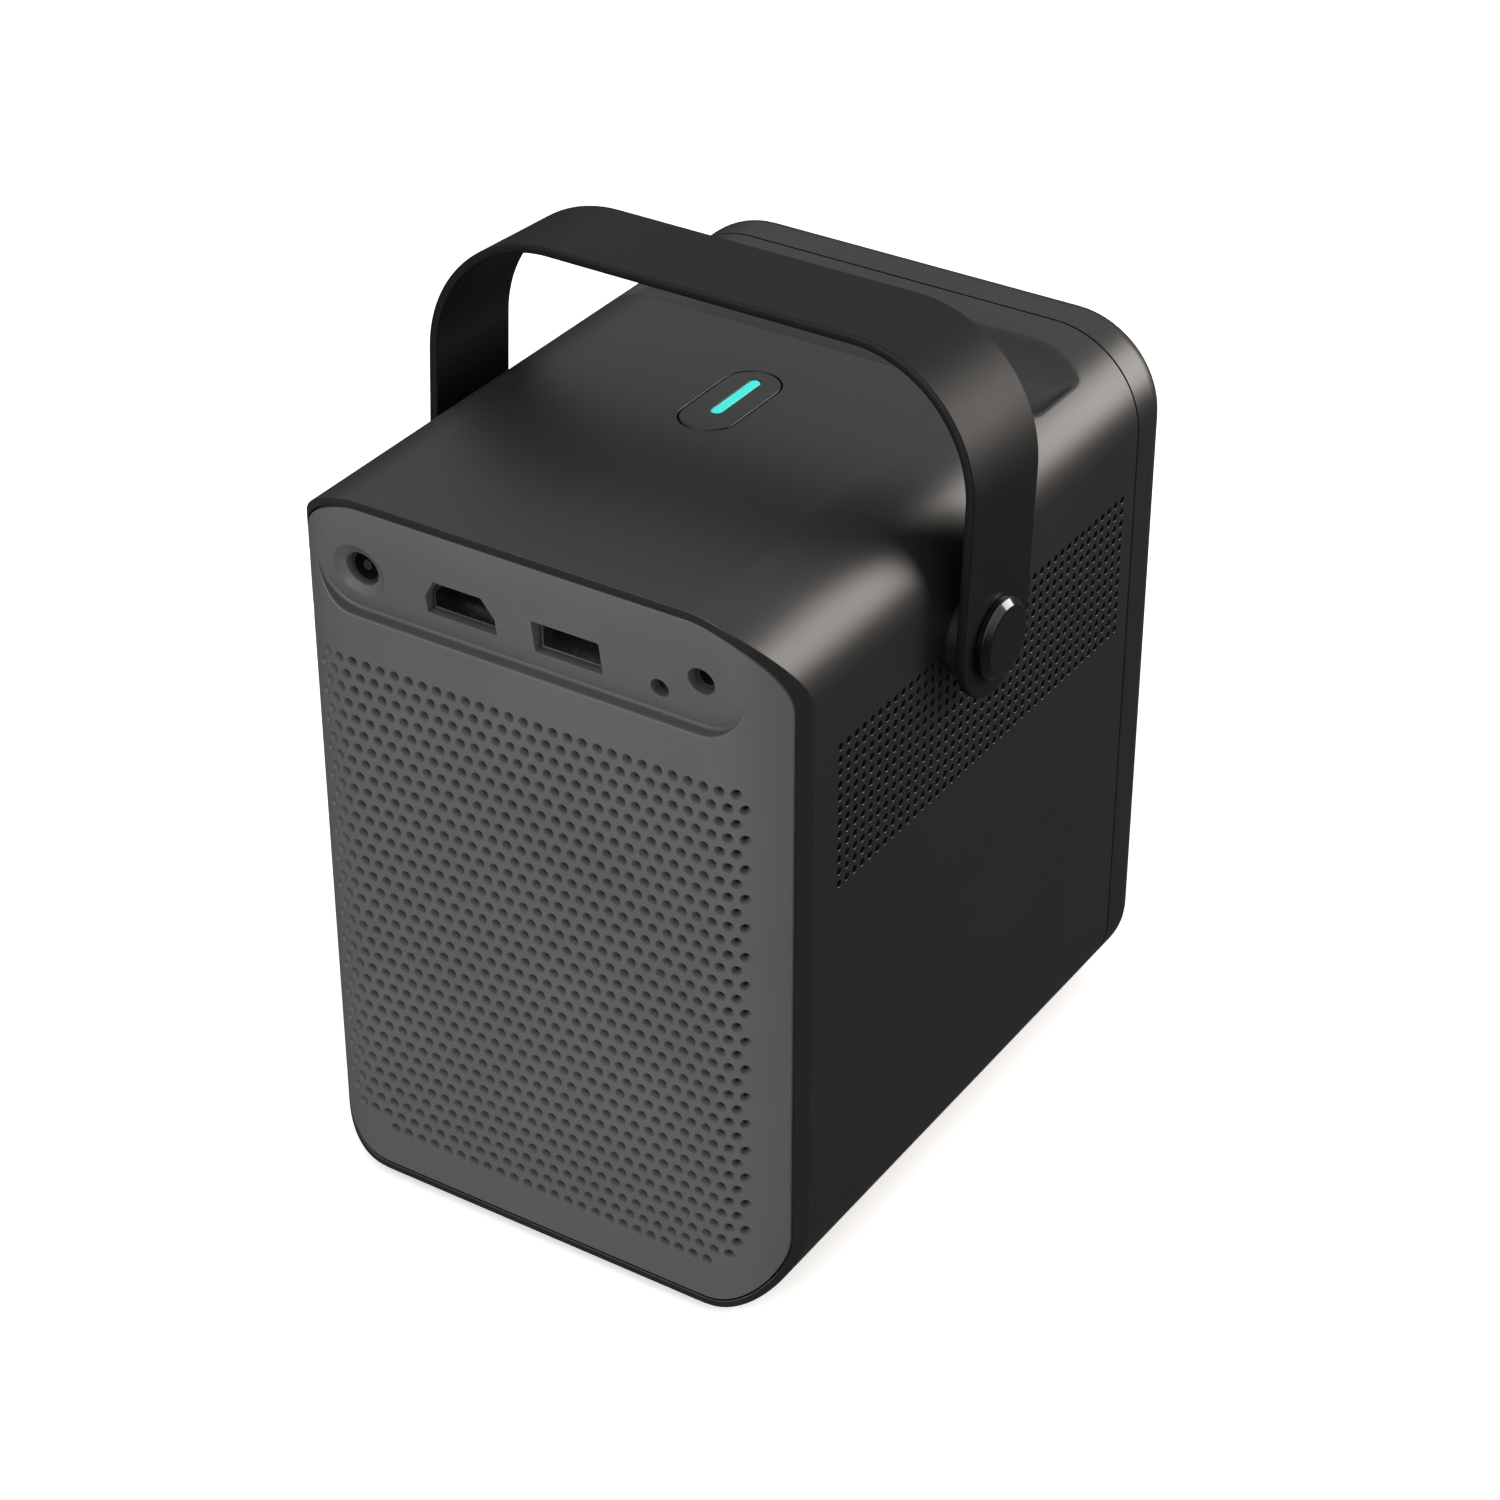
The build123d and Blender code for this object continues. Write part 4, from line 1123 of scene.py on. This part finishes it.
# ---------------------------------------------------------------- power key
def bevelled_plate(shape, outer, holes, low, high, edge, place):
    """Plate between two levels with rounded upper edges; outer and holes take a growth."""
    fill(shape, outer(-edge), [hole(edge) for hole in holes], [],
         lambda u, v: (place(u, v, high), place(0, 0, 1) - place(0, 0, 0)))
    fill(shape, outer(0.0), [hole(0.0) for hole in holes], [],
         lambda u, v: (place(u, v, low), place(0, 0, 0) - place(0, 0, 1)))
    for ring, sign in [(outer, -1)] + [(hole, 1) for hole in holes]:
        rows = [[dot(shape, place(u, v, high - back)) for u, v in ring(sign * inset)]
                for inset, back in reversed(rounding(edge))]
        rows.append([dot(shape, place(u, v, low)) for u, v in ring(0.0)])
        loft(shape, rows)


def build_key():
    """The capsule key with its slot, and the lit bar in it."""
    bar_x = (BAR_X0 + BAR_X1) / 2
    bar_y = (BAR_Y0 + BAR_Y1) / 2

    def bar_ring(grow):
        return capsule(bar_x, bar_y, BAR_X1 - BAR_X0 + 2 * grow, BAR_Y1 - BAR_Y0 + 2 * grow)

    def upright(u, v, h):
        return Vector((u, v, h))

    shape = fresh()
    bevelled_plate(shape, key_outline, [bar_ring], BAR_Z0, TOP, 0.28, upright)
    make_piece("key_cap", shape, "key_plastic", "button", ("power_button",))
    shape = fresh()
    bevelled_plate(shape, lambda grow: bar_ring(grow - 0.05), [], BAR_Z0, TOP - 0.03, 0.3, upright)
    make_piece("key_light", shape, "bar_light", "button", ("light_bar",))


# ---------------------------------------------------------------- stage
def build_stage(scene):
    """Pale floor, soft tent light with one warm strip, and the camera."""
    stage = scene.projector_stage
    floor = bpy.data.meshes.new("floor")
    size = 30.0
    floor.from_pydata([(-size, -size, 0), (size, -size, 0), (size, size, 0), (-size, size, 0)], [],
                      [(0, 1, 2, 3)])
    ground = bpy.data.objects.new("floor", floor)
    scene.collection.objects.link(ground)
    # Matt white paper sweep, lit from beneath so that hardly a shadow is left on it.
    floor.materials.append(finish("White paper sweep", linear("#ffffff"), linear("#fdfdfd"),
                                  (0.85, 0.95), 2.0, 0.02, Emission_Color=linear("#ffffff"),
                                  Emission_Strength=0.35))
    ground.visible_glossy = False
    world = bpy.data.worlds.new("Tent")
    world.use_nodes = True
    tree = world.node_tree
    tree.nodes["Background"].inputs["Color"].default_value = (1.0, 1.0, 1.0, 1.0)
    way = add(tree, "ShaderNodeTexCoord").outputs["Generated"]
    height = add(tree, "ShaderNodeSeparateXYZ", {0: way}).outputs["Z"]
    glow = add(tree, "ShaderNodeMapRange",
               {"Value": height, "From Min": -0.1, "From Max": 0.9, "To Min": 0.07 * stage.surround,
                "To Max": stage.surround}, interpolation_type="SMOOTHSTEP").outputs[0]
    tree.links.new(glow, tree.nodes["Background"].inputs["Strength"])
    scene.world = world
    target = Vector((-6.07, 5.51, 83.34)) * MM
    for name, way, reach, wide, high, power, tint in (
            ("warm_strip", (-0.62, -0.71, 0.30), 1.0, 0.7, 0.5, 9.0, (1.0, 0.93, 0.86)),
            ("rear_fill", (0.10, 0.95, 0.30), 1.4, 1.0, 1.0, 15.0, (1.0, 1.0, 1.0))):
        data = bpy.data.lights.new(name, "AREA")
        data.shape = "RECTANGLE"
        data.size = wide
        data.size_y = high
        data.energy = power
        data.color = tint
        lamp = bpy.data.objects.new(name, data)
        way = Vector(way).normalized()
        lamp.location = target + way * reach
        lamp.rotation_euler = way.to_track_quat("Z", "Y").to_euler()
        scene.collection.objects.link(lamp)
    data = bpy.data.cameras.new("camera")
    data.lens = stage.lens
    data.sensor_width = 36.0
    camera = bpy.data.objects.new("camera", data)
    turn = stage.azimuth
    back = Vector((sin(turn) * cos(stage.elevation), -cos(turn) * cos(stage.elevation),
                   sin(stage.elevation)))
    camera.location = target + back * stage.distance
    camera.rotation_euler = back.to_track_quat("Z", "Y").to_euler()
    scene.collection.objects.link(camera)
    scene.camera = camera
    scene.view_settings.view_transform = "Standard"


# ---------------------------------------------------------------- operators
class MakeFinishes(bpy.types.Operator):
    """Makes the finishes and gives each CAD node its own"""
    bl_idname = "projector.finishes"
    bl_label = "Finishes"

    def execute(self, context):
        FINISH.update(make_finishes(context.scene))
        for part in frame["record"]["subparts"]:
            mesh = NODES[part["node"]].data
            mesh.materials.clear()
            mesh.materials.append(FINISH[part["material_slot"]])
        return {"FINISHED"}


class MakeWrap(bpy.types.Operator):
    """Builds the painted metal wrap"""
    bl_idname = "projector.wrap"
    bl_label = "Wrap"

    def execute(self, context):
        build_wrap(context.scene.projector_case)
        return {"FINISHED"}


class MakeGrilles(bpy.types.Operator):
    """Builds the side bands, the rear back and the black sheets of painted shade behind them"""
    bl_idname = "projector.grilles"
    bl_label = "Grilles and back"

    def execute(self, context):
        tree = perforation_tree()
        build_side_grilles(context.scene.projector_grille, context.scene.projector_case, tree)
        build_rear(context.scene.projector_grille, tree)
        return {"FINISHED"}


class MakeHandle(bpy.types.Operator):
    """Builds the strap and its bolt heads"""
    bl_idname = "projector.handle"
    bl_label = "Handle"

    def execute(self, context):
        build_handle(context.scene.projector_handle)
        build_pivots()
        return {"FINISHED"}


class MakeKey(bpy.types.Operator):
    """Builds the power key and its light"""
    bl_idname = "projector.key"
    bl_label = "Power key"

    def execute(self, context):
        build_key()
        return {"FINISHED"}


class MakeStage(bpy.types.Operator):
    """Builds the floor, the light and the camera"""
    bl_idname = "projector.stage"
    bl_label = "Stage"

    def execute(self, context):
        build_stage(context.scene)
        return {"FINISHED"}


OPERATORS = (MakeFinishes, MakeWrap, MakeGrilles, MakeHandle, MakeKey, MakeStage)


class ProjectorPanel(bpy.types.Panel):
    """Lists the projector's builders and their settings."""
    bl_idname = "VIEW3D_PT_projector"
    bl_label = "Home projector"
    bl_space_type = "VIEW_3D"
    bl_region_type = "UI"
    bl_category = "Projector"

    def draw(self, context):
        for operator in OPERATORS:
            self.layout.operator(operator.bl_idname)
        for name, group in GROUPS.items():
            column = self.layout.box().column()
            for key in group.__annotations__:
                column.prop(getattr(context.scene, name), key)


def register():
    """Registers the settings, the operators and the panel."""
    for name, group in GROUPS.items():
        bpy.utils.register_class(group)
        setattr(bpy.types.Scene, name, bpy.props.PointerProperty(type=group))
    for kind in OPERATORS + (ProjectorPanel,):
        bpy.utils.register_class(kind)


def unregister():
    """Undoes register."""
    for kind in reversed(OPERATORS + (ProjectorPanel,)):
        bpy.utils.unregister_class(kind)
    for name, group in GROUPS.items():
        delattr(bpy.types.Scene, name)
        bpy.utils.unregister_class(group)


def main():
    """Builds everything."""
    register()
    for operator in OPERATORS:
        family, name = operator.bl_idname.split(".")
        getattr(getattr(bpy.ops, family), name)()


if __name__ == "__main__":
    main()
